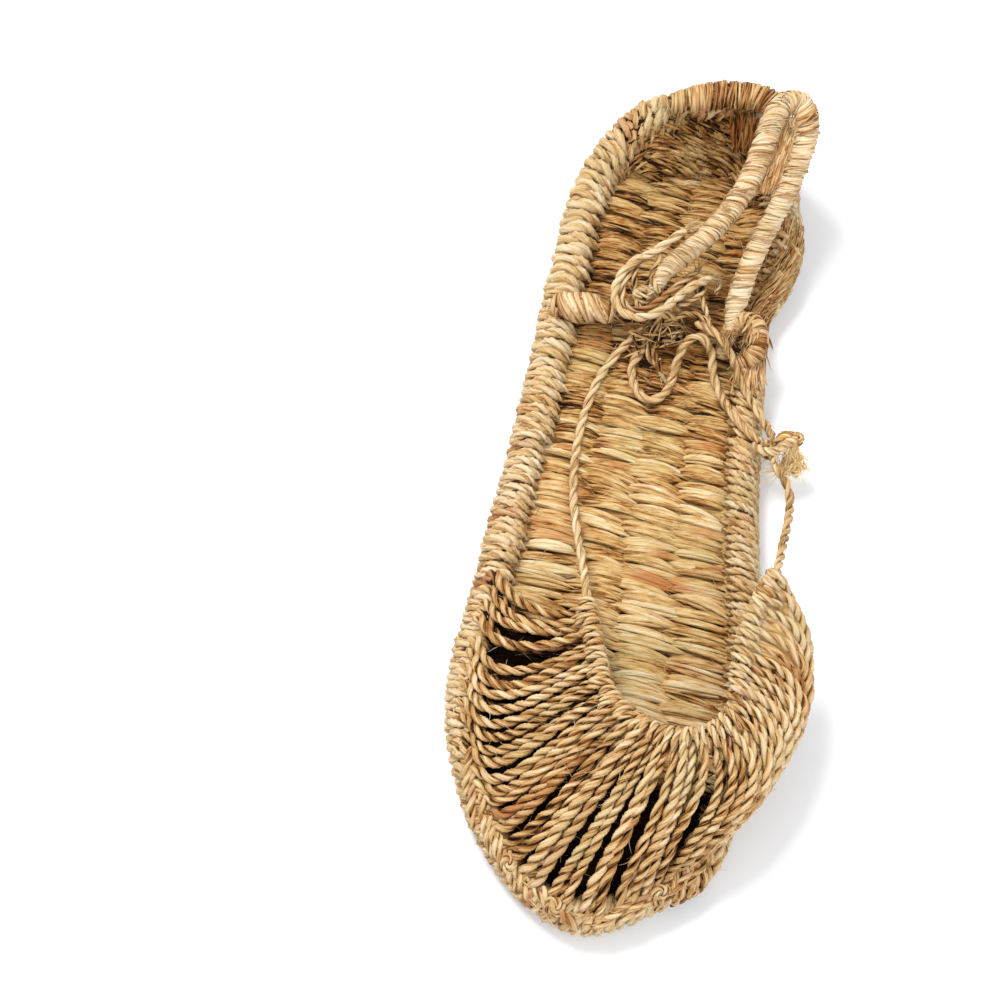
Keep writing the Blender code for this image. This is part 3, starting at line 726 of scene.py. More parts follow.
def finished(mesh, name, replaced, values, material):
    """A mesh as a piece that rides on the one body, with its straw's values and material."""
    mesh.shade_smooth()
    fields = (("grain", "FLOAT_VECTOR", "vector"), ("tone", "FLOAT", "value"), ("rust", "FLOAT", "value"))
    for (label, kind, field), parts in zip(fields, values):
        attribute = mesh.attributes.new(label, kind, "POINT")
        attribute.data.foreach_set(field, np.concatenate(parts).astype(np.float32).ravel())
    mesh.materials.append(MATERIALS[material])
    piece = bpy.data.objects.new(name, mesh)
    bpy.context.scene.collection.objects.link(piece)
    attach(piece, "root")
    if replaced:
        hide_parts(*replaced)
    return piece


class Graph:
    """The nodes of one material."""

    def __init__(self, name):
        self.material = bpy.data.materials.new(name)
        self.material.use_nodes = True
        self.tree = self.material.node_tree
        self.shader = self.tree.nodes["Principled BSDF"]

    def node(self, kind, inputs, **settings):
        """A node with its settings, its inputs set to values or joined to other sockets."""
        made = self.tree.nodes.new(kind)
        for key, value in settings.items():
            setattr(made, key, value)
        for key, value in inputs.items():
            self.join(made.inputs[key], value)
        return made

    def join(self, socket, value):
        """Gives a socket a value or another socket."""
        if isinstance(value, bpy.types.NodeSocket):
            self.tree.links.new(value, socket)
        else:
            socket.default_value = value

    def attribute(self, name, output):
        """One of the strands' own values."""
        return self.node("ShaderNodeAttribute", {}, attribute_name=name).outputs[output]

    def noise(self, vector, scale, detail):
        """Noise between 0 and 1, with its own scale along each axis."""
        scaled = self.node("ShaderNodeVectorMath", {0: vector, 1: scale}, operation="MULTIPLY")
        inputs = {"Vector": scaled.outputs[0], "Scale": 1, "Detail": detail, "Roughness": 0.6}
        return self.node("ShaderNodeTexNoise", inputs).outputs["Fac"]

    def maths(self, operation, a, b, c=0):
        """The result of one sum."""
        return self.node("ShaderNodeMath", {0: a, 1: b, 2: c}, operation=operation).outputs[0]

    def spread(self, value, low, high, to_low, to_high):
        """A value moved from one range to another."""
        made = self.node("ShaderNodeMapRange", {0: value, 1: low, 2: high, 3: to_low, 4: to_high})
        return made.outputs[0]

    def mixed(self, share, a, b):
        """A blend of two colours."""
        return self.node("ShaderNodeMix", {0: share, 6: a, 7: b}, data_type="RGBA").outputs[2]

    def ramp(self, value, places, colours):
        """A colour read from a row of places and their colours."""
        made = self.node("ShaderNodeValToRGB", {0: value})
        elements = made.color_ramp.elements
        while len(elements) < len(places):
            elements.new(0.5)
        for element, place, colour in zip(elements, places, colours):
            element.position = place
            element.color = (*colour, 1)
        return made.outputs[0]


def straw(name, look):
    """Dry straw: fine fibres and broad streaks along each strand, patches over the sandal."""
    graph = Graph(name)
    grain = graph.attribute("grain", "Vector")
    tone = graph.attribute("tone", "Fac")
    rust = graph.attribute("rust", "Fac")
    place = graph.node("ShaderNodeTexCoord", {}).outputs["Object"]
    fibres = graph.noise(grain, (0.2, 2.3, 2.3), 3)
    streaks = graph.noise(grain, (0.1, 0.85, 0.85), 1)
    blotches = graph.noise(grain, (0.06, 0.3, 0.3), 1)
    patches = graph.noise(place, (60, 60, 60), 1)
    value = graph.maths("ADD", tone, -1.68)
    for part, weight in ((fibres, 1.35), (streaks, 1), (blotches, 0.6), (patches, 0.4)):
        value = graph.maths("MULTIPLY_ADD", part, weight, value)
    colour = graph.ramp(value, COLOUR_STOPS, look.colours)
    lit = graph.spread(value, 0, 0.25, 0, 1)
    moss = graph.maths("MULTIPLY", graph.spread(patches, 0.5, 0.75, 0, look.moss), lit)
    colour = graph.mixed(moss, colour, (*MOSS, 1))
    reddish = graph.maths("MULTIPLY_ADD", graph.spread(blotches, 0.62, 0.8, 0, 0.5), 1, rust)
    reddish = graph.maths("MULTIPLY", reddish, graph.spread(streaks, 0.3, 0.6, 0.25, 1))
    reddish = graph.maths("MULTIPLY", reddish, lit)
    colour = graph.mixed(graph.maths("MINIMUM", reddish, 0.78), colour, (*look.reddish, 1))
    graph.join(graph.shader.inputs["Base Color"], colour)
    rough = graph.spread(streaks, 0.3, 0.7, look.rough - 0.08, look.rough + 0.15)
    rough = graph.maths("MULTIPLY_ADD", graph.maths("SUBTRACT", 1, lit), 0.45, rough)
    graph.join(graph.shader.inputs["Roughness"], rough)
    graph.shader.inputs["Specular IOR Level"].default_value = 0.22
    height = graph.maths("MULTIPLY_ADD", streaks, 0.8, fibres)
    bump = graph.node("ShaderNodeBump", {"Height": height, "Strength": 0.75, "Distance": 0.0005})
    graph.join(graph.shader.inputs["Normal"], bump.outputs[0])
    return graph.material


MATERIALS = {name: straw(name, look) for name, look in LOOKS.items()}


def reddened(random, share, chance):
    """How reddish a strand is along its length: now and then over a stretch, mostly nowhere."""
    if random.random() > chance:
        return 0
    middle, reach = random.uniform(0, 1), random.uniform(0.1, 0.35)
    return random.uniform(0.5, 1.1) * np.exp(-(((share - middle) / reach) ** 2))


def spotted(line):
    """How reddish the stained places of the sole make the points of a line."""
    total = np.zeros(len(line))
    for spot in STAINS:
        across = (line[:, 0] - spot.x) / spot.half_length
        along = (line[:, 1] - spot.y + 0.12 * (line[:, 0] - spot.x)) / spot.half_width
        total += spot.strength * np.exp(-across * across - along * along)
    return total


def bundle(
    strands, line, radius, tone, lay=9, out=None, flat=1,
    sides=6, rust=0, spread=0.48, fill=0.56, shade=0.3,
):
    """A cord of two plies twisted round each other along a line. spread and fill are how far
    out each ply lies and how thick it is, as shares of the radius. Given outward directions,
    flat presses the cord onto the surface that they leave."""
    line = np.asarray(line, float)
    radius = np.broadcast_to(radius, len(line))
    _, side, over = directions(line, out)
    along = distances_along(line)
    random = strands.random
    start = random.uniform(0, 2 * math.pi)
    angle = start + 2 * math.pi * along / lay + 0.35 * np.sin(along * 0.45 + start)
    for ply in range(2):
        lift = np.sin(angle + math.pi * ply)[:, None] * over
        aside = np.cos(angle + math.pi * ply)[:, None] * side
        path = line + (aside + lift * flat) * (spread * radius)[:, None]
        uneven = 1 + 0.09 * np.sin(along * 0.7 + start * 3 + ply * 2.1)
        thick = fill * radius * uneven * random.normal(1, 0.05)
        ply_tone = tone + random.normal(0, 0.06)
        out = unit(aside + lift)
        strands.add(path, thick * 1.06, thick * 0.94, out, sides, ply_tone, shade, FIBRE_TWIST, rust)


def draped(strands, points, radius, tone, rust=0):
    """One loose flat strand laid through points, with tapered ends."""
    line = smooth_route(points, 0.9)
    swell = radius * swelling(np.linspace(0, 1, len(line)), 0.25, 0.35)
    strands.add(line, swell, swell * 0.6, sides=5, tone=tone, shade=0.2, rust=rust)


def stray(strands, points, radii, tone, uneven, chance):
    """A draped strand of a random radius and tone, now and then reddish."""
    random = strands.random
    radius = random.uniform(*radii)
    own_tone = random.normal(tone, uneven)
    draped(strands, points, radius, own_tone, reddened(random, np.zeros(1), chance))


def tuft(strands, root, way, length, spread, count, tone, thick=0.28):
    """A frayed end: fibres that fan out from a place."""
    random = strands.random
    way = unit(np.array(way, float))
    share = np.linspace(0, 1, 7)[:, None]
    for _ in range(count):
        lean = way * 0.35 + unit(way + random.normal(0, spread, 3)) * 0.65
        reach = length * random.uniform(0.6, 1.15)
        bend = random.normal(0, 0.35, 3)
        path = root + random.normal(0, 0.35, 3) + lean * reach * share + bend * reach * share**2
        swell = thick * random.uniform(0.6, 1.2) * (1 - 0.8 * share[:, 0])
        own_tone = tone + random.normal(0, 0.12)
        rust = reddened(random, share[:, 0], 0.15)
        strands.add(path, swell, swell * 0.8, sides=4, tone=own_tone, shade=0.1, rust=rust)


# The bed


def bed_sides():
    """The inner edge of the wound rim, as its left and right x over y."""
    around = np.linspace(0, SOLE.perimeter, 721)[:-1]
    right_side = around < SOLE.perimeter / 2
    ring = SOLE.place(around, np.where(right_side, BED_INSET_RIGHT, BED_INSET), np.zeros(720))
    ring = np.roll(ring, -int(ring[:, 1].argmin()), axis=0)
    heel = int(ring[:, 1].argmax())
    return np.concatenate([ring[heel:], ring[:1]])[::-1], ring[: heel + 1]


def surface_normal(x, y, height):
    """The normal of a surface given by its height over x and y."""
    step = 0.6
    slope_x = (height(x + step, y) - height(x - step, y)) / (2 * step)
    slope_y = (height(x, y + step) - height(x, y - step)) / (2 * step)
    return unit(np.stack([-slope_x, -slope_y, np.ones_like(slope_x)], axis=-1))


def sheaf(strands, line, half, tone, count, out, rust):
    """Slim strands lying side by side over a half width, gathered where it narrows."""
    _, side, over = directions(line, out)
    random = strands.random
    for k in range(count):
        share = (k + 0.5) / count * 2 - 1 + random.normal(0, 0.1)
        sway = share + random.normal(0, 0.22) * np.sin(np.linspace(0, math.pi, len(line)))
        crown = 0.45 * (1 - share * share) + random.normal(0, 0.08)
        path = line + side * (sway * 0.8 * half)[:, None] + over * (crown * half)[:, None]
        thick = half * (1.45 / count) * random.uniform(0.85, 1.25)
        own_tone = tone + random.normal(0, 0.07)
        strands.add(path, thick * 1.35, thick * 0.8, over, 6, own_tone, 0.12, FIBRE_TWIST, rust)


def under_the_toe(x, y):
    """How far under the drawn toe a place on the bed is, from 0 outside it to 1."""
    rims = sorted(r.rim[:2] for r in VAMP_REACHES[:7])
    front = np.interp(x, *zip(*rims))
    return rising(front + 2 - y, 0, TOE_SHADE_REACH)


def weave(strands, face, height, columns):
    """The floats of one face of the bed, column by column."""
    left, right = bed_sides()
    random = strands.random
    y = np.arange(BED_TOE, BED_HEEL, 0.4)
    x_left = np.interp(y, left[:, 1], left[:, 0])
    width = np.interp(y, right[:, 1], right[:, 0]) - x_left
    for column in columns:
        low, high = column / BED_COLUMNS, (column + 1) / BED_COLUMNS
        arc = distances_along(np.stack([y, height(x_left + width * (low + high) / 2, y)], axis=1))
        for row in range(int(arc[-1] / FLOAT_PITCH)):
            at = (row + 0.5 * (column % 2) + random.normal(0, 0.13)) * FLOAT_PITCH
            here = np.interp(at, arc, y)
            start = np.interp(here, y, x_left + width * low) - FLOAT_OVERLAP + random.normal(0, 1.5)
            end = np.interp(here, y, x_left + width * high) + FLOAT_OVERLAP + random.normal(0, 1.5)
            if end - start > FLOAT_SHORTEST:
                woven_float(strands, face, height, start, end, at, (arc, y))


def woven_float(strands, face, height, start, end, at, column):
    """One float as a sheaf of straw, between two places across the bed. at is its distance down
    the column, which is given as distances and y."""
    random = strands.random
    share = 0.5 - 0.5 * np.cos(np.linspace(0, math.pi, face.rings))
    swell = swelling(share, 0.12, 0.75)
    x = start + (end - start) * share
    lean = FLOAT_SLOPE + random.normal(0, 0.06)
    arch = random.normal(0.8, 0.5) * np.sin(math.pi * share**0.8)
    y = np.interp(at - lean * (x - (start + end) / 2) + arch, *column)
    normal = surface_normal(x, y, height) * face.facing
    rise = (FLOAT_DIP + FLOAT_RISE + random.normal(0, 0.12)) * np.sin(math.pi * share) ** 0.6
    out = (face.lift - FLOAT_DIP + rise) * face.radius / BED_TOP.radius
    line = np.stack([x, y, height(x, y)], axis=-1) + normal * out[:, None]
    # Painted shade: darker towards the thin ends, where a float dips under its neighbours.
    tone = random.normal(0.59, 0.09) - 0.24 * (1 - swell)
    if face is BED_TOP:
        # Painted shade under the drawn toe, and the bed darker along y: browner straw and painted shade
        # from the bow and loops.
        tone = tone - TOE_SHADE * under_the_toe(x, y) - np.interp(y, *BROWNING_AND_SHADE)
    rust = reddened(random, share, 0.1) + spotted(line)
    half = face.radius * swell * random.normal(1, 0.08)
    sheaf(strands, line, half, tone, face.strands, normal, rust)


def make_bed():
    """The woven bed in two halves, and the underside, each over the dark core."""
    for name, columns, seed, replaced in (
        ("bed_weave_left", (0, 1), 11, ("sole",)),
        ("bed_weave_right", (2, 3), 13, ()),
    ):
        strands = Strands(seed)
        weave(strands, BED_TOP, SOLE.bed_height, columns)
        strands.frizz(240, 4.5, 0.85)
        strands.mesh(name, "bed_straw", *replaced)
    under = Strands(12)
    weave(under, BED_UNDER, SOLE.under_height, range(BED_COLUMNS))
    under.mesh("under_weave", "bed_straw")


def make_core():
    """A body inside the weave, so that no light comes through the gaps between strands, its tone dark as
    painted shade.
    """
    around = np.linspace(0, SOLE.perimeter, CORE_SIDES + 1)[:-1]
    still = np.ones(CORE_SIDES)
    points = np.concatenate([
        SOLE.place(around, inset * still, height * still, under) for inset, height, under in CORE_RINGS
    ])
    index = np.arange(len(points)).reshape(-1, CORE_SIDES)
    after = np.roll(index, -1, axis=1)
    quads = np.stack([index[:-1], after[:-1], after[1:], index[1:]], axis=-1).reshape(-1, 4)
    faces = [index[0][::-1].tolist(), *quads.tolist(), index[-1].tolist()]
    mesh = bpy.data.meshes.new("bed_core")
    mesh.from_pydata([tuple(p) for p in points * MM], [], faces)
    # Painted shade: the core darker still under the drawn toe.
    tone = 0.34 - 1.2 * under_the_toe(points[:, 0], points[:, 1])
    values = ([points], [tone], [np.zeros(len(points))])
    finished(mesh, "bed_core", (), values, "bed_straw")


# The wound edge of the sole


def rim_bulge(distance):
    """How far the toe's rim bulges outwards at distances round the edge."""
    return np.interp(distance, *RIM_BULGES)


def edge_places():
    """Where the windings lie round the edge."""
    places = [-SOLE.perimeter / 2]
    while places[-1] < SOLE.perimeter / 2 - 2:
        places.append(places[-1] + np.interp(places[-1], WINDINGS[:, 0], WINDINGS[:, 1]))
    return np.array(places)


def winding_line(random, signed, share, heel, inner):
    """The line of one winding, from the bed over the edge to the underside. heel is how far it
    is in the heel's cup, and inner how much each point feels what moves the inner end."""
    inner_shift, outer_shift, trim = sampled(signed, WINDINGS[:, 0], WINDINGS[:, 2:])
    path = through(WINDING_PATH, len(share))
    outer = softened(rising(share, 0.16, 0.5))
    shift = inner_shift * inner + outer_shift * outer
    distance = signed + shift + random.normal(0, 0.25) * inner
    short = trim + random.normal(0, 0.6)
    inset = path[:, 0] - (short + 4 * heel) * inner - rim_bulge(signed) * outer
    inset = inset + 4.5 * heel * rising(share, 0.8, 0.2)
    height = path[:, 1] + (1.2 * heel + 0.25 * max(short, 0)) * inner + random.normal(0, 0.15)
    top = SOLE.place(distance, inset, height)
    low = SOLE.place(distance, inset, height, under=True)
    down = rising(share, 0.6, 0.2)[:, None]
    return top * (1 - down) + low * down


def winding(strands, signed):
    """One winding round the sole's edge, as a twisted cord pressed flat."""
    random = strands.random
    share = np.linspace(0, 1, WINDING_RINGS)
    heel = rising(abs(signed), HEEL_CUP_START, HEEL_CUP_RAMP)
    inner = 1 - rising(share, 0, 0.3)
    line = winding_line(random, signed, share, heel, inner)
    pitch = np.interp(signed, WINDINGS[:, 0], WINDINGS[:, 1])
    still = np.ones(WINDING_RINGS)
    out = unit(line - SOLE.place(still * signed, still * WINDING_MIDDLE[0], still * WINDING_MIDDLE[1]))
    swell = np.sin(math.pi / 2 * np.clip(share / 0.2, 0.2, 1))
    swell = swell * np.sin(math.pi / 2 * np.clip((1 - share) / 0.15, 0.2, 1))
    radius = 0.6 * pitch * swell * random.normal(1, 0.07)
    # Painted shade: darker at the thin ends, where a winding tucks under, and at its inner end beneath
    # the drawn toe and under the heel roll.
    tone = random.normal(0.66, 0.07) + 0.07 * (-250 < signed < -70) - 0.16 * (1 - swell)
    tone = tone - inner * (1.4 * (-112 < signed < 62) + 0.8 * heel)
    rust = reddened(random, share, 0.08) + spotted(line)
    spread = 0.38 if 90 < signed < 240 else 0.46
    lay = WINDING_LAY * pitch
    bundle(strands, line, radius, tone, lay, out, 0.72, rust=rust, spread=spread, fill=0.6, shade=0.16)


def lay_rim_ends(strands):
    """The ends of cords laid along the toe's rim."""
    random = strands.random
    for start in RIM_ENDS:
        way = 1 if start < 0 else -1
        around = start + way * np.linspace(0, random.uniform(14, 19), len(RIM_END_INSETS))
        inset = RIM_END_INSETS + random.normal(0, 0.3)
        height = np.interp(inset, *RIM_SURFACE) + random.normal(0.5, 0.25)
        line = smooth_route(SOLE.place(around, inset - rim_bulge(around), height), 0.8)
        share = np.linspace(0, 1, len(line))
        swell = random.normal(1.45, 0.1) * swelling(share, 0.35, 0.3)
        rust = reddened(random, share, 0.2)
        tone = random.normal(0.62, 0.06)
        bundle(strands, line, swell, tone, random.normal(8, 0.6), sides=8, rust=rust, shade=0.4)


def lay_whorls(strands):
    """The whorls where the ends on the rim are tucked in."""
    for whorl in WHORLS:
        turn = np.linspace(0, 4.2 * math.pi, 44)
        reach = whorl.size * (0.15 + 0.85 * turn / turn[-1])
        inset = whorl.inset + reach * np.sin(turn) * 0.75
        height = np.interp(inset, *RIM_SURFACE) + 2.2 - 0.9 * (reach / whorl.size) ** 2
        line = SOLE.place(whorl.edge + reach * np.cos(turn), inset - rim_bulge(whorl.edge), height)
        thick = np.clip(reach / whorl.size + 0.35, 0.5, 1)
        bundle(strands, line, thick, strands.random.normal(0.66, 0.04), 6)


def dress_toe(strands):
    """The toe's rim: ends of cords, whorls and loose straw laid on it."""
    random = strands.random
    lay_rim_ends(strands)
    lay_whorls(strands)
    for _ in range(STRAYS["rim"]):
        around = random.uniform(-36, 40) + np.linspace(0, random.uniform(3, 7), 6)
        inset = random.uniform(0.6, 3) + np.linspace(0, random.normal(0, 0.9), 6)
        height = np.interp(inset, *RIM_SURFACE) + 1.2
        line = SOLE.place(around, inset - rim_bulge(around), height)
        stray(strands, line, (0.2, 0.4), 0.66, 0.1, 0.2)


def dress_flare(strands):
    """Hairy straw laid along the flared lobe of the edge beside the heel."""
    random = strands.random
    for _ in range(STRAYS["flare"]):
        around = random.uniform(213, 250) + np.linspace(0, -random.uniform(4, 9), 7)
        inset = random.uniform(-0.6, 6) + np.linspace(0, random.normal(1.6, 0.9), 7)
        height = np.interp(inset, *FLARE_SURFACE) + random.uniform(0.1, 0.6)
        stray(strands, SOLE.place(around, inset, height), (0.14, 0.34), 0.5, 0.1, 0.15)


def make_edge():
    """The windings round the sole's edge, in two pieces, left and right."""
    places = edge_places()
    for name, chosen, seed in (
        ("edge_windings_left", places[places < 0], 21),
        ("edge_windings_right", places[places >= 0], 22),
    ):
        strands = Strands(seed)
        for place in chosen:
            winding(strands, place + strands.random.normal(0, 0.18))
        if name == "edge_windings_right":
            dress_toe(strands)
            dress_flare(strands)
        strands.frizz(150, 3.2)
        strands.mesh(name, "cord_straw")


# The drawn toe


def parted(distance, rise):
    """A cord's distance round the edge at a rise, with its lean and pushed by the partings."""
    place = np.full(len(rise), float(distance))
    middle = np.sin(math.pi * rise) ** 0.8
    for part in PARTINGS:
        gap = (distance - part.edge) / part.width
        place = place + part.push * math.tanh(gap * 3) * math.exp(-gap * gap) * middle
    lean = np.interp(distance, *LEANS) * softened(rising(1 - rise, 0.08, 0.62))
    return place + lean + np.interp(distance, *FOOT_SHIFTS) * np.exp(-rise / 0.12)


def vamp_cord(distance, layer, drift, behind=0):
    """The line of one cord, from the sole's edge up over the throat's band. behind sets it
    further inside the toe."""
    rise = np.linspace(0.03, 0.985, 26)
    place = parted(distance, rise) + drift * np.sin(math.pi * rise) ** 2
    _, up, out = vamp_directions(place, rise)
    over = layer * rising(rise, 0.42, 0.3) - behind * np.sin(math.pi * rise) ** 0.5
    line = vamp_point(place, rise) + out * over[:, None]
    wrapped = np.interp(distance, *WRAP_SHARES)
    roots = np.array(FEET_INSIDE) * (1 - wrapped) + np.array(FEET_OUTSIDE) * wrapped
    bulge = rim_bulge(distance) * np.array((0.3, 1, 1))
    feet = SOLE.place(place[0] - np.array((0, 0.4, 0.8)), roots[:, 0] - bulge, roots[:, 1])
    after = [line[-1] + up[-1] * further + out[-1] * outwards for further, outwards in CORD_ENDS]
    return np.concatenate([feet[::-1], line, after])


def cord_places():
    """Where the cords of the drawn toe stand round the edge."""
    stops = np.linspace(VAMP_REACHES[0].edge + 2, VAMP_REACHES[-1].edge - 2, 400)
    crowding = 1 / np.interp(stops, *CORD_PITCHES)
    total = np.concatenate([[0], np.cumsum((crowding[1:] + crowding[:-1]) / 2)])
    return np.interp(np.linspace(0, total[-1], CORD_COUNT), total, stops)


def vamp_strand(strands, route, tone, thick):
    """One twisted cord of the toe along its route, thinner towards the throat."""
    line = smooth_route(route, 0.9)
    share = np.linspace(0, 1, len(line))
    radius = np.interp(share, *CORD_SWELL) * CORD_RADIUS * thick
    rust = reddened(strands.random, share, 0.16)
    lay = CORD_LAY * strands.random.normal(1, 0.1)
    # Painted shade: the first stretch of the cord, at its foot under the edge, is darker.
    bundle(strands, line, radius, tone - 0.25 * (share < 0.04), lay, sides=8, rust=rust, shade=0.5)


def make_vamp():
    """The cords of the drawn toe, as two pieces, left and right of the middle."""
    places = cord_places()
    for name, chosen, seed, replaced in (
        ("toe_cords_left", places[: CORD_COUNT // 2], 31, ("upper",)),
        ("toe_cords_right", places[CORD_COUNT // 2 :], 32, ()),
    ):
        strands = Strands(seed)
        random = strands.random
        for k, distance in enumerate(chosen):
            layer = 0.8 if k % 2 else -0.7
            drift = random.normal(0, 0.9)
            route = vamp_cord(distance + random.normal(0, 0.35), layer + random.normal(0, 0.25), drift)
            wing = float(rising(distance, 45, 25))
            # Painted light: cords on the wing are paler, as it turns away from the lamps.
            tone = random.normal(0.57 + 0.16 * wing, 0.06)
            vamp_strand(strands, route, tone, random.normal(1 + 0.14 * wing, 0.05))
        between = (chosen[1:] + chosen[:-1]) / 2
        for back in BACKING:
            for distance in between[(between > back.first) & (between < back.last)][:: back.step]:
                route = vamp_cord(distance, back.layer, random.normal(0, back.drift), back.behind)
                vamp_strand(strands, route, back.tone, back.thick)
        if name == "toe_cords_right":
            # Dark strands behind the wing's cords, as painted shade in the gaps between them.
            for distance in np.arange(94, 122, 3):
                route = vamp_cord(distance, 0, 0, 1.6)
                strands.add(smooth_route(route[3:], 1.2), 1.7, 1.5, tone=0.42)
        strands.frizz(230, 3)
        strands.mesh(name, "cord_straw", *replaced)


def make_band():
    """The band round the throat: a core wound with the cords' own ends."""
    strands = Strands(41)
    random = strands.random
    first, last = VAMP_REACHES[0].edge, VAMP_REACHES[-1].edge
    fine = np.linspace(first, last, 400)
    along = distances_along(vamp_point(fine, np.ones(400)))
    places = np.interp(np.arange(0.4, along[-1], BAND_PITCH), along, fine)
    line = vamp_point(np.linspace(first, last, 90), np.ones(90))
    # The core's dark tone is painted shade in the gaps between the windings.
    strands.add(line, 1.2, 1.2, sides=8, tone=0.2)
    for place in places:
        at = np.array([place + random.normal(0, 0.2)])
        side, up, over = (d[0] for d in vamp_directions(at, np.array([1])))
        centre = vamp_point(at, np.array([1]))[0]
        low = 4 + random.normal(0, 0.8)
        path = ((-low, 0.2), (-low + 1.4, 1.7), *BAND_PATH)
        lean = random.normal(0.18, 0.12)
        route = through([centre + up * u + over * o + side * lean * u for u, o in path], 20)
        share = np.linspace(0, 1, 20)
        swell = 1.15 * swelling(share, 0.3, 0.4)
        rust = reddened(random, share, 0.12)
        tone = random.normal(0.64, 0.07)
        out = unit(route - centre)
        bundle(strands, route, swell, tone, 9.5, out, 0.75, rust=rust, spread=0.46, fill=0.58, shade=0.22)
    strands.frizz(90, 3)
    strands.mesh("throat_band", "cord_straw")


# The wound cords at the heel and sides


def wind(strands, wound):
    """Straw wound round a route of places and radii, over a core with rounded ends."""
    random = strands.random
    route = smooth_route(wound.route, 0.6)
    line, radius = route[:, :3], route[:, 3]
    ahead, side, over = directions(line)
    along = distances_along(line)
    turns = along[-1] / wound.pitch
    turn = np.linspace(0, turns, round(turns * STEPS_PER_TURN))
    angle = turn * 2 * math.pi
    knots = np.arange(round(turns) + 3)

    def wandering(size):
        """A value that wanders from turn to turn."""
        return np.interp(turn, knots, random.normal(0, size, len(knots)))

    at = turn * wound.pitch + wound.pitch * wandering(wound.loose)
    slant = wound.slant + wandering(0.35 * abs(wound.slant) + 0.25 * wound.loose)
    at = np.clip(at + slant * np.sin(angle + 0.7), 0, along[-1])
    place, sideways, outwards = (sampled(at, along, part) for part in (line, side, over))
    out = unit(round_ring(angle, sideways, outwards))
    around = (np.interp(at, along, radius) - wound.deep) * (1 + wandering(0.04))
    path = place + out * around[:, None]
    wide = wound.wide * (1 + wandering(0.16))
    creases = np.interp(turn, knots, random.random(len(knots)) < 0.04)
    wide = wide * (1 - 0.55 * creases)
    wide[0] = wide[-1] = wound.wide * 0.3
    drift = np.interp(turn, knots[::4], random.normal(0, 0.09, len(knots[::4])))
    rust = np.maximum(wandering(0.5) - 0.75, 0)
    tone = wound.tone + wandering(0.07) + drift
    strands.add(path, wide, wound.deep, out, tone=tone, shade=WOUND_SHADE, rust=rust)
    wound_core(strands, wound, line, radius, ahead)
    for end, way in ((0, -1), (-1, 1)):
        spiral(strands, wound, line[end], radius[end], way * ahead[end], side[end], over[end])


def wound_core(strands, wound, line, radius, ahead):
    """The core inside wound straw, with rounded ends, dark as painted shade in the gaps between turns."""
    ends = (line[:1] - ahead[:1] * 0.4 * radius[0], line, line[-1:] + ahead[-1:] * 0.4 * radius[-1])
    thick = np.concatenate([[radius[0] * 0.35], radius * 0.84, [radius[-1] * 0.35]])
    strands.add(np.concatenate(ends), thick, thick, sides=12, tone=wound.tone - 0.25, twist=0.03)


def spiral(strands, wound, centre, radius, ahead, side, over):
    """The winding drawn together over one end of its core."""
    turn = np.linspace(0, 5 * math.pi, 40) + strands.random.uniform(0, 6)
    reach = np.linspace(0.98, 0.1, 40)
    dome = 0.6 * np.sqrt(1 - 0.9 * reach**2)
    face = reach[:, None] * round_ring(turn, side, over)
    path = centre + radius * (dome[:, None] * ahead + face)
    strands.add(path, wound.wide, wound.deep, unit(face + ahead), tone=wound.tone, shade=WOUND_SHADE)


def make_wound():
    """The heel roll, the heel strap and both side loops, each wound with straw."""
    for wound in WOUND:
        strands = Strands(wound.seed)
        wind(strands, wound)
        if wound.node == "heel_strap":
            dress_strap(strands)
        if wound.node == "side_loop_right":
            dress_ear(strands)
        strands.frizz(wound.fibres, 3.2)
        strands.mesh(wound.piece, "wrap_straw", wound.node)


def web_strand(strands):
    """One strand of the web between the heel strap's legs, clear of its hole."""
    random = strands.random
    across = random.uniform(-0.05, 1.05)
    first, last = sorted(random.uniform(-0.03, 1.05, 2))
    if 0.4 < across < 0.95:
        above = random.random() < 0.3
        first, last = (first * 0.3, WEB_HOLE[0]) if above else (WEB_HOLE[1], max(last, 0.5))
    down = np.linspace(first, last, 4)
    lean = across + np.linspace(0, random.normal(0, 0.12), 4)[:, None]
    left, right = (sampled(down, WEB_STOPS, side) for side in (WEB_LEFT, WEB_RIGHT))
    line = left + (right - left) * lean + random.normal(0, 0.25, (4, 3))
    stray(strands, line, (0.2, 0.5), 0.62, 0.1, 0.2)


def dress_strap(strands):
    """Loose straw over the heel strap: fine strays round it, a web between its legs, frayed
    ends and whorls."""
    random = strands.random
    route = smooth_route(HEEL_STRAP, 0.8)
    _, side, over = directions(route[:, :3])
    for _ in range(STRAYS["strap"]):
        start = random.integers(2, len(route) - 10)
        span = np.arange(start, start + random.integers(4, 9))
        angle = random.uniform(0, 2 * math.pi) + np.linspace(0, random.normal(3.4, 0.8), len(span))
        out = round_ring(angle, side[span], over[span])
        line = route[span, :3] + out * (route[span, 3:4] + random.uniform(0.05, 0.35))
        stray(strands, line, (0.15, 0.36), 0.66, 0.1, 0.12)
    for _ in range(STRAYS["web"]):
        web_strand(strands)
    for point in STRAP_WHORLS:
        turn = np.linspace(0, 4 * math.pi, 30)
        reach = 0.3 + 1.3 * turn / turn[-1]
        line = point + np.stack([reach * np.cos(turn), reach * np.sin(turn), 0.5 - 0.3 * reach], axis=1)
        draped(strands, line, 0.3, 0.7)
    tuft(strands, HEEL_STRAP[0][:3], (-0.35, -1, -0.3), 4.5, 0.2, 30, 0.42, 0.34)
    tuft(strands, HEEL_STRAP[-1][:3], (-0.35, -0.8, -0.3), 4.5, 0.3, 26, 0.62)


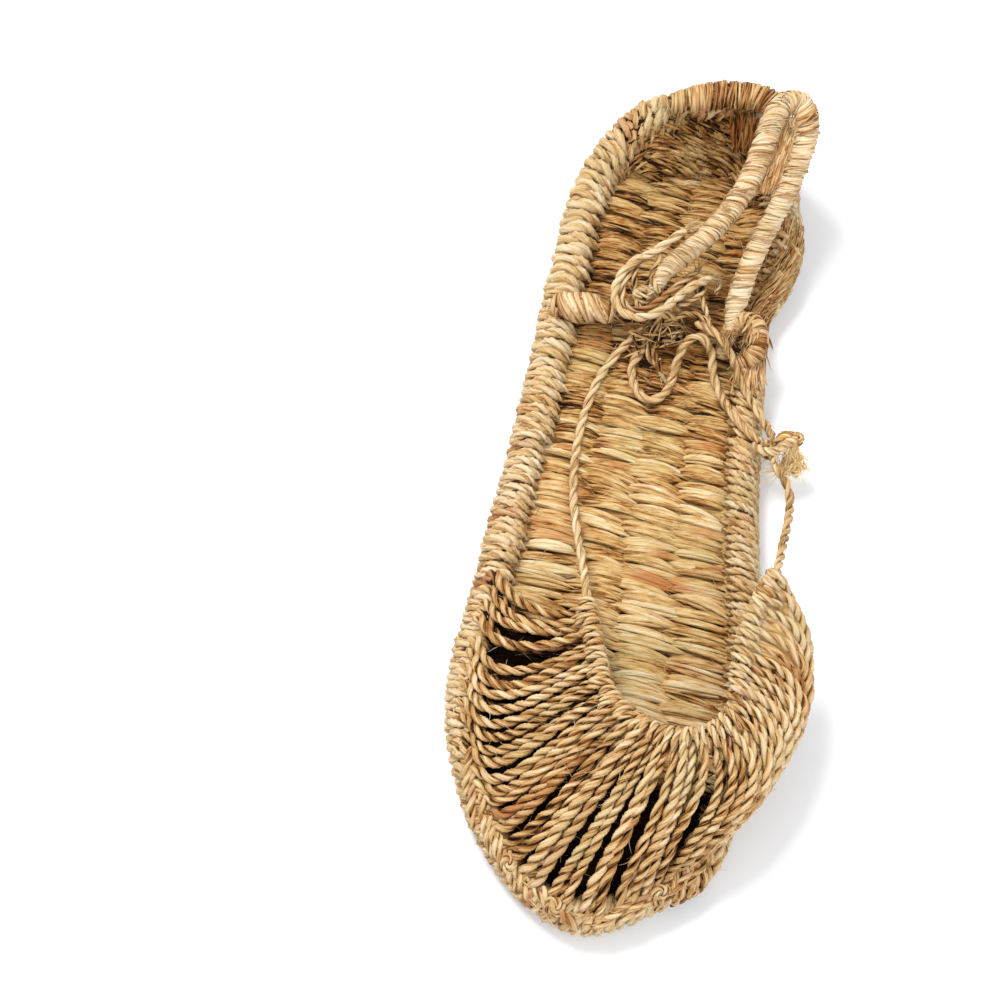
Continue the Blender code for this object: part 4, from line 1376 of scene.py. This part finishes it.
def dress_ear(strands):
    """Shaggy straw over the ear on the right edge and below it, and a dark strand within it as painted
    shade.
    """
    random = strands.random
    for _ in range(STRAYS["ear"]):
        share = random.uniform(0.42, 1)
        top = np.array((22.6 + 11.4 * share, 62 - 6.5 * share, 19 + 2.6 * math.sin(math.pi * share)))
        way = np.array((random.normal(0, 0.25), -1, random.normal(-0.25, 0.25)))
        reach = random.uniform(3.5, 8)
        line = [top, top + way * reach * 0.5 + (0, 0, 1), top + way * reach]
        stray(strands, line, (0.2, 0.42), 0.58, 0.12, 0.15)
    for _ in range(STRAYS["under ear"]):
        top = np.array((random.uniform(26, 34.5), random.uniform(45, 52), 14.6))
        reach = random.uniform(4, 9)
        aside = random.normal(0, 1.4)
        line = [top, top + (aside * 0.5, -reach * 0.5, -0.2), top + (aside, -reach, -1)]
        stray(strands, line, (0.22, 0.45), 0.66, 0.1, 0.15)
    tuft(strands, (27.8, 51, 16.5), (0, -1, -0.4), 5.5, 0.22, 40, 0.5)
    # A dark strand in the ear's hollow: painted shade.
    hollow = [(23.4, 54, 12.6), (25.4, 54.2, 13.8), (27.6, 53.4, 14.2), (29.8, 52, 13.8)]
    strands.add(hollow, (1.4, 3.1, 3.1, 1.4), 1.5, sides=8, tone=-0.4)
    tuft(strands, (30.8, 56, 19.6), (-0.6, -0.75, -0.3), 5.5, 0.22, 60, 0.3, 0.18)


def tie_roll(strands):
    """The tie from the heel roll down to the bed."""
    random = strands.random
    for _ in range(STRAYS["tie"]):
        share = random.uniform(-0.3, 1.2)
        top = np.array(TIE_TOP[0]) * (1 - share) + np.array(TIE_TOP[1]) * share + random.normal(0, 0.5, 3)
        low = np.array(TIE_LOW[0]) * (1 - share) + np.array(TIE_LOW[1]) * share + random.normal(0, 0.7, 3)
        line = [top, (top + low) / 2 + random.normal(0, 0.6, 3), low]
        radius = random.uniform(0.28, 0.5)
        tone = random.normal(0.42, 0.1)
        draped(strands, line, radius, tone, random.uniform(0.3, 0.9))


def make_heel_inside():
    """The inside of the heel cup: long strands laid across it, the tie below the roll."""
    strands = Strands(57)
    random = strands.random
    half = SOLE.perimeter / 2
    for k in range(CUP_STRANDS):
        low = k / (CUP_STRANDS - 1)
        inset = 7.2 + 10.5 * low + random.normal(0, 0.4)
        start = half - random.uniform(18, 44)
        around = np.linspace(start, half + random.uniform(10, 40), 9)
        slope = 3 * (np.linspace(0, 1, 9) - 0.5) * random.normal(-1, 0.5)
        inset = np.clip(inset + slope, CUP_SURFACE[0][0], CUP_SURFACE[0][-1])
        height = np.interp(inset, *CUP_SURFACE) + random.normal(0.1, 0.25)
        line = smooth_route(SOLE.place(around, inset, height), 1.4)
        swell = random.uniform(1.1, 1.75) * swelling(np.linspace(0, 1, len(line)), 0.25, 0.4)
        # Painted shade: the strands nearest the edge, under the heel roll, are darkest.
        bundle(strands, line, swell, random.normal(0.16 + 0.3 * low, 0.12), 12, shade=0.45)
    tie_roll(strands)
    strands.frizz(110, 3.6)
    strands.mesh("heel_inside_straw", "bed_straw")


# The lace and the knots


def lace_piece(lace):
    """A stretch of the lace as its own twisted cord, with the line that it follows."""
    strands = Strands(lace.seed)
    line = smooth_route(lace.route, 0.7)
    bundle(strands, line, LACE_RADIUS, lace.tone, lace.lay, sides=8, spread=0.44, shade=0.16)
    return strands.mesh(lace.piece, "lace_straw", lace.node), line


def knotted(strands, lump):
    """A drawn-tight lump of twisted cord round a middle that is dark as painted shade, each turn tilted a
    little further than the last."""
    angle = np.linspace(lump.start, lump.start + lump.turns * 2 * math.pi, round(lump.turns * 12))
    lean = lump.tilt * np.sin(angle * 0.37 + lump.start)
    rise = np.sin(angle) * np.sin(lean) + 0.35 * np.cos(angle * 0.5)
    way = unit(np.stack([np.cos(angle), np.sin(angle) * np.cos(lean), rise], axis=-1))
    route = lump.middle + way * (np.array(lump.half) - lump.radius)
    bundle(strands, smooth_route(route, 0.7), lump.radius, lump.tone, 6.4, sides=7)
    # The middle, nearly black: painted shade between the turns.
    core = np.zeros((5, 3))
    core[:, 0] = np.array((-0.5, -0.3, 0, 0.3, 0.5)) * lump.half[0]
    size = np.array((0.2, 0.55, 0.7, 0.55, 0.2)) * lump.half[1]
    strands.add(lump.middle + core, size, size, sides=10, tone=0.05)


def tied(strands, cords):
    """Short cords laid through points."""
    for cord in cords:
        line = smooth_route(cord.points, 0.7)
        share = np.linspace(0, 1, len(line))
        swell = np.interp(share, (0, 0.06, 0.94, 1), (0.6, 1, 1, 0.6)) * cord.radius
        rust = reddened(strands.random, share, 0.15)
        bundle(strands, line, swell, cord.tone, cord.lay, sides=7, rust=rust)


def make_bow():
    """The bow's tangle: the knot, the hitch's second strand, small ends and frayed tips."""
    strands = Strands(67)
    random = strands.random
    for lump in BOW_LUMPS:
        knotted(strands, lump)
    tied(strands, BOW_ENDS)
    for _ in range(STRAYS["bow"]):
        start = random.uniform(*BOW_BOX)
        line = [start + random.normal(0, 2.4, 3) * (1, 1, 0.5) for _ in range(4)]
        stray(strands, line, (0.2, 0.42), 0.4, 0.14, 0.5)
    for tip in BOW_TUFTS:
        tuft(strands, tip.root, tip.way, tip.length, 0.32, tip.count, 0.64, 0.26)
    strands.frizz(120, 3.4)
    return strands.mesh("bow_knot_cords", "lace_straw", "bow_knot")


def make_side_knot():
    """The side knot: the tight rope across it, its folded end and the cords that it holds."""
    strands = Strands(68)
    for lump in SIDE_LUMPS:
        knotted(strands, lump)
    tied(strands, SIDE_ENDS)
    strands.frizz(50, 2.8)
    return strands.mesh("side_knot_cords", "lace_straw", "side_knot")


def make_loose_end():
    """The short end that hangs at the side knot, frayed into a tuft of fibres."""
    strands = Strands(66)
    random = strands.random
    bundle(strands, smooth_route(LOOSE_END, 0.7), LACE_RADIUS, 0.42, 7, sides=8)
    turn = np.linspace(0, 1, 9)[:, None]
    for _ in range(STRAYS["pom"]):
        start, axis = unit(random.normal(0, 1, 3)), unit(random.normal(0, 1, 3))
        sweep = turn * random.uniform(1.2, 3.4)
        swung = start * np.cos(sweep) + np.cross(axis, start) * np.sin(sweep)
        base = random.uniform(1.2, 3.9)
        reach = base * (1 + random.uniform(0, 0.8) * turn**3)
        thick = random.uniform(0.13, 0.24) * (1 - 0.6 * turn[:, 0])
        tone = random.normal(0.4 + 0.13 * base, 0.1)
        rust = reddened(random, turn[:, 0], 0.3)
        path = POM_TUFTS[0].root + swung * reach
        strands.add(path, thick, thick, sides=4, tone=tone, shade=0.1, rust=rust)
    for tip in POM_TUFTS:
        tuft(strands, *tip)
    return strands.mesh("loose_end_cord", "lace_straw", "loose_end", material="fluff_straw")


def make_laces():
    """The lace's bars, knots, loops and ends, and loose fibres along its cords."""
    cords = [lace_piece(lace) for lace in LACES]
    bow = make_bow()
    side = make_side_knot()
    loose = make_loose_end()
    strays = Strands(69)
    for _, line in cords:
        ahead, _, over = directions(line)
        for way in (1, -1):
            strays.paths.append((line + way * over * LACE_RADIUS * 0.9, ahead, way * over))
    strays.frizz(110, 2.6)
    strays.mesh("lace_fibres", "lace_straw")


# The stage


def make_camera():
    """The camera at the photograph's angle to the shoe."""
    turn, tip, roll = (math.radians(a) for a in (CAMERA_AZIMUTH, CAMERA_ELEVATION, CAMERA_ROLL))
    forward = Vector((-math.sin(turn) * math.cos(tip), math.cos(turn) * math.cos(tip), -math.sin(tip)))
    right = Vector((math.cos(turn), math.sin(turn), 0))
    up = right.cross(forward)
    rolled_right = right * math.cos(roll) + up * math.sin(roll)
    rolled_up = up * math.cos(roll) - right * math.sin(roll)
    data = bpy.data.cameras.new("camera")
    data.sensor_width = SENSOR_WIDTH
    data.lens = CAMERA_LENS
    data.clip_start = 0.01
    data.clip_end = 20
    camera = bpy.data.objects.new("camera", data)
    bpy.context.scene.collection.objects.link(camera)
    matrix = Matrix((rolled_right, rolled_up, -forward)).transposed().to_4x4()
    matrix.translation = (Vector(CAMERA_TARGET) - forward * CAMERA_DISTANCE) * MM
    camera.matrix_world = matrix
    bpy.context.scene.camera = camera


def make_light(light):
    """A soft square light aimed at the sandal."""
    data = bpy.data.lights.new(light.name, "AREA")
    data.size = light.size
    data.energy = light.power
    data.color = light.colour
    lamp = bpy.data.objects.new(light.name, data)
    lamp.location = light.place
    lamp.rotation_mode = "QUATERNION"
    lamp.rotation_quaternion = (-Vector(light.place)).to_track_quat("-Z", "Y")
    bpy.context.scene.collection.objects.link(lamp)


def make_stage():
    """A plain pale floor under soft light from the left."""
    mesh = bpy.data.meshes.new("floor")
    corners = ((-1, -1), (1, -1), (1, 1), (-1, 1))
    mesh.from_pydata([(FLOOR_HALF * x, FLOOR_HALF * y, 0) for x, y in corners], [], [(0, 1, 2, 3)])
    floor = bpy.data.objects.new("floor", mesh)
    paper = bpy.data.materials.new("floor_paper")
    paper.use_nodes = True
    shader = paper.node_tree.nodes["Principled BSDF"]
    shader.inputs["Base Color"].default_value = FLOOR_COLOUR
    shader.inputs["Roughness"].default_value = 0.9
    shader.inputs["Specular IOR Level"].default_value = 0.1
    mesh.materials.append(paper)
    bpy.context.scene.collection.objects.link(floor)
    world = bpy.data.worlds.new("world")
    world.use_nodes = True
    background = world.node_tree.nodes["Background"]
    background.inputs["Color"].default_value = SKY_COLOUR
    background.inputs["Strength"].default_value = SKY_STRENGTH
    bpy.context.scene.world = world
    bpy.context.scene.view_settings.view_transform = "Standard"
    for light in LIGHTS:
        make_light(light)


make_camera()
make_stage()
make_laces()
make_core()
make_bed()
make_edge()
make_vamp()
make_band()
make_wound()
make_heel_inside()
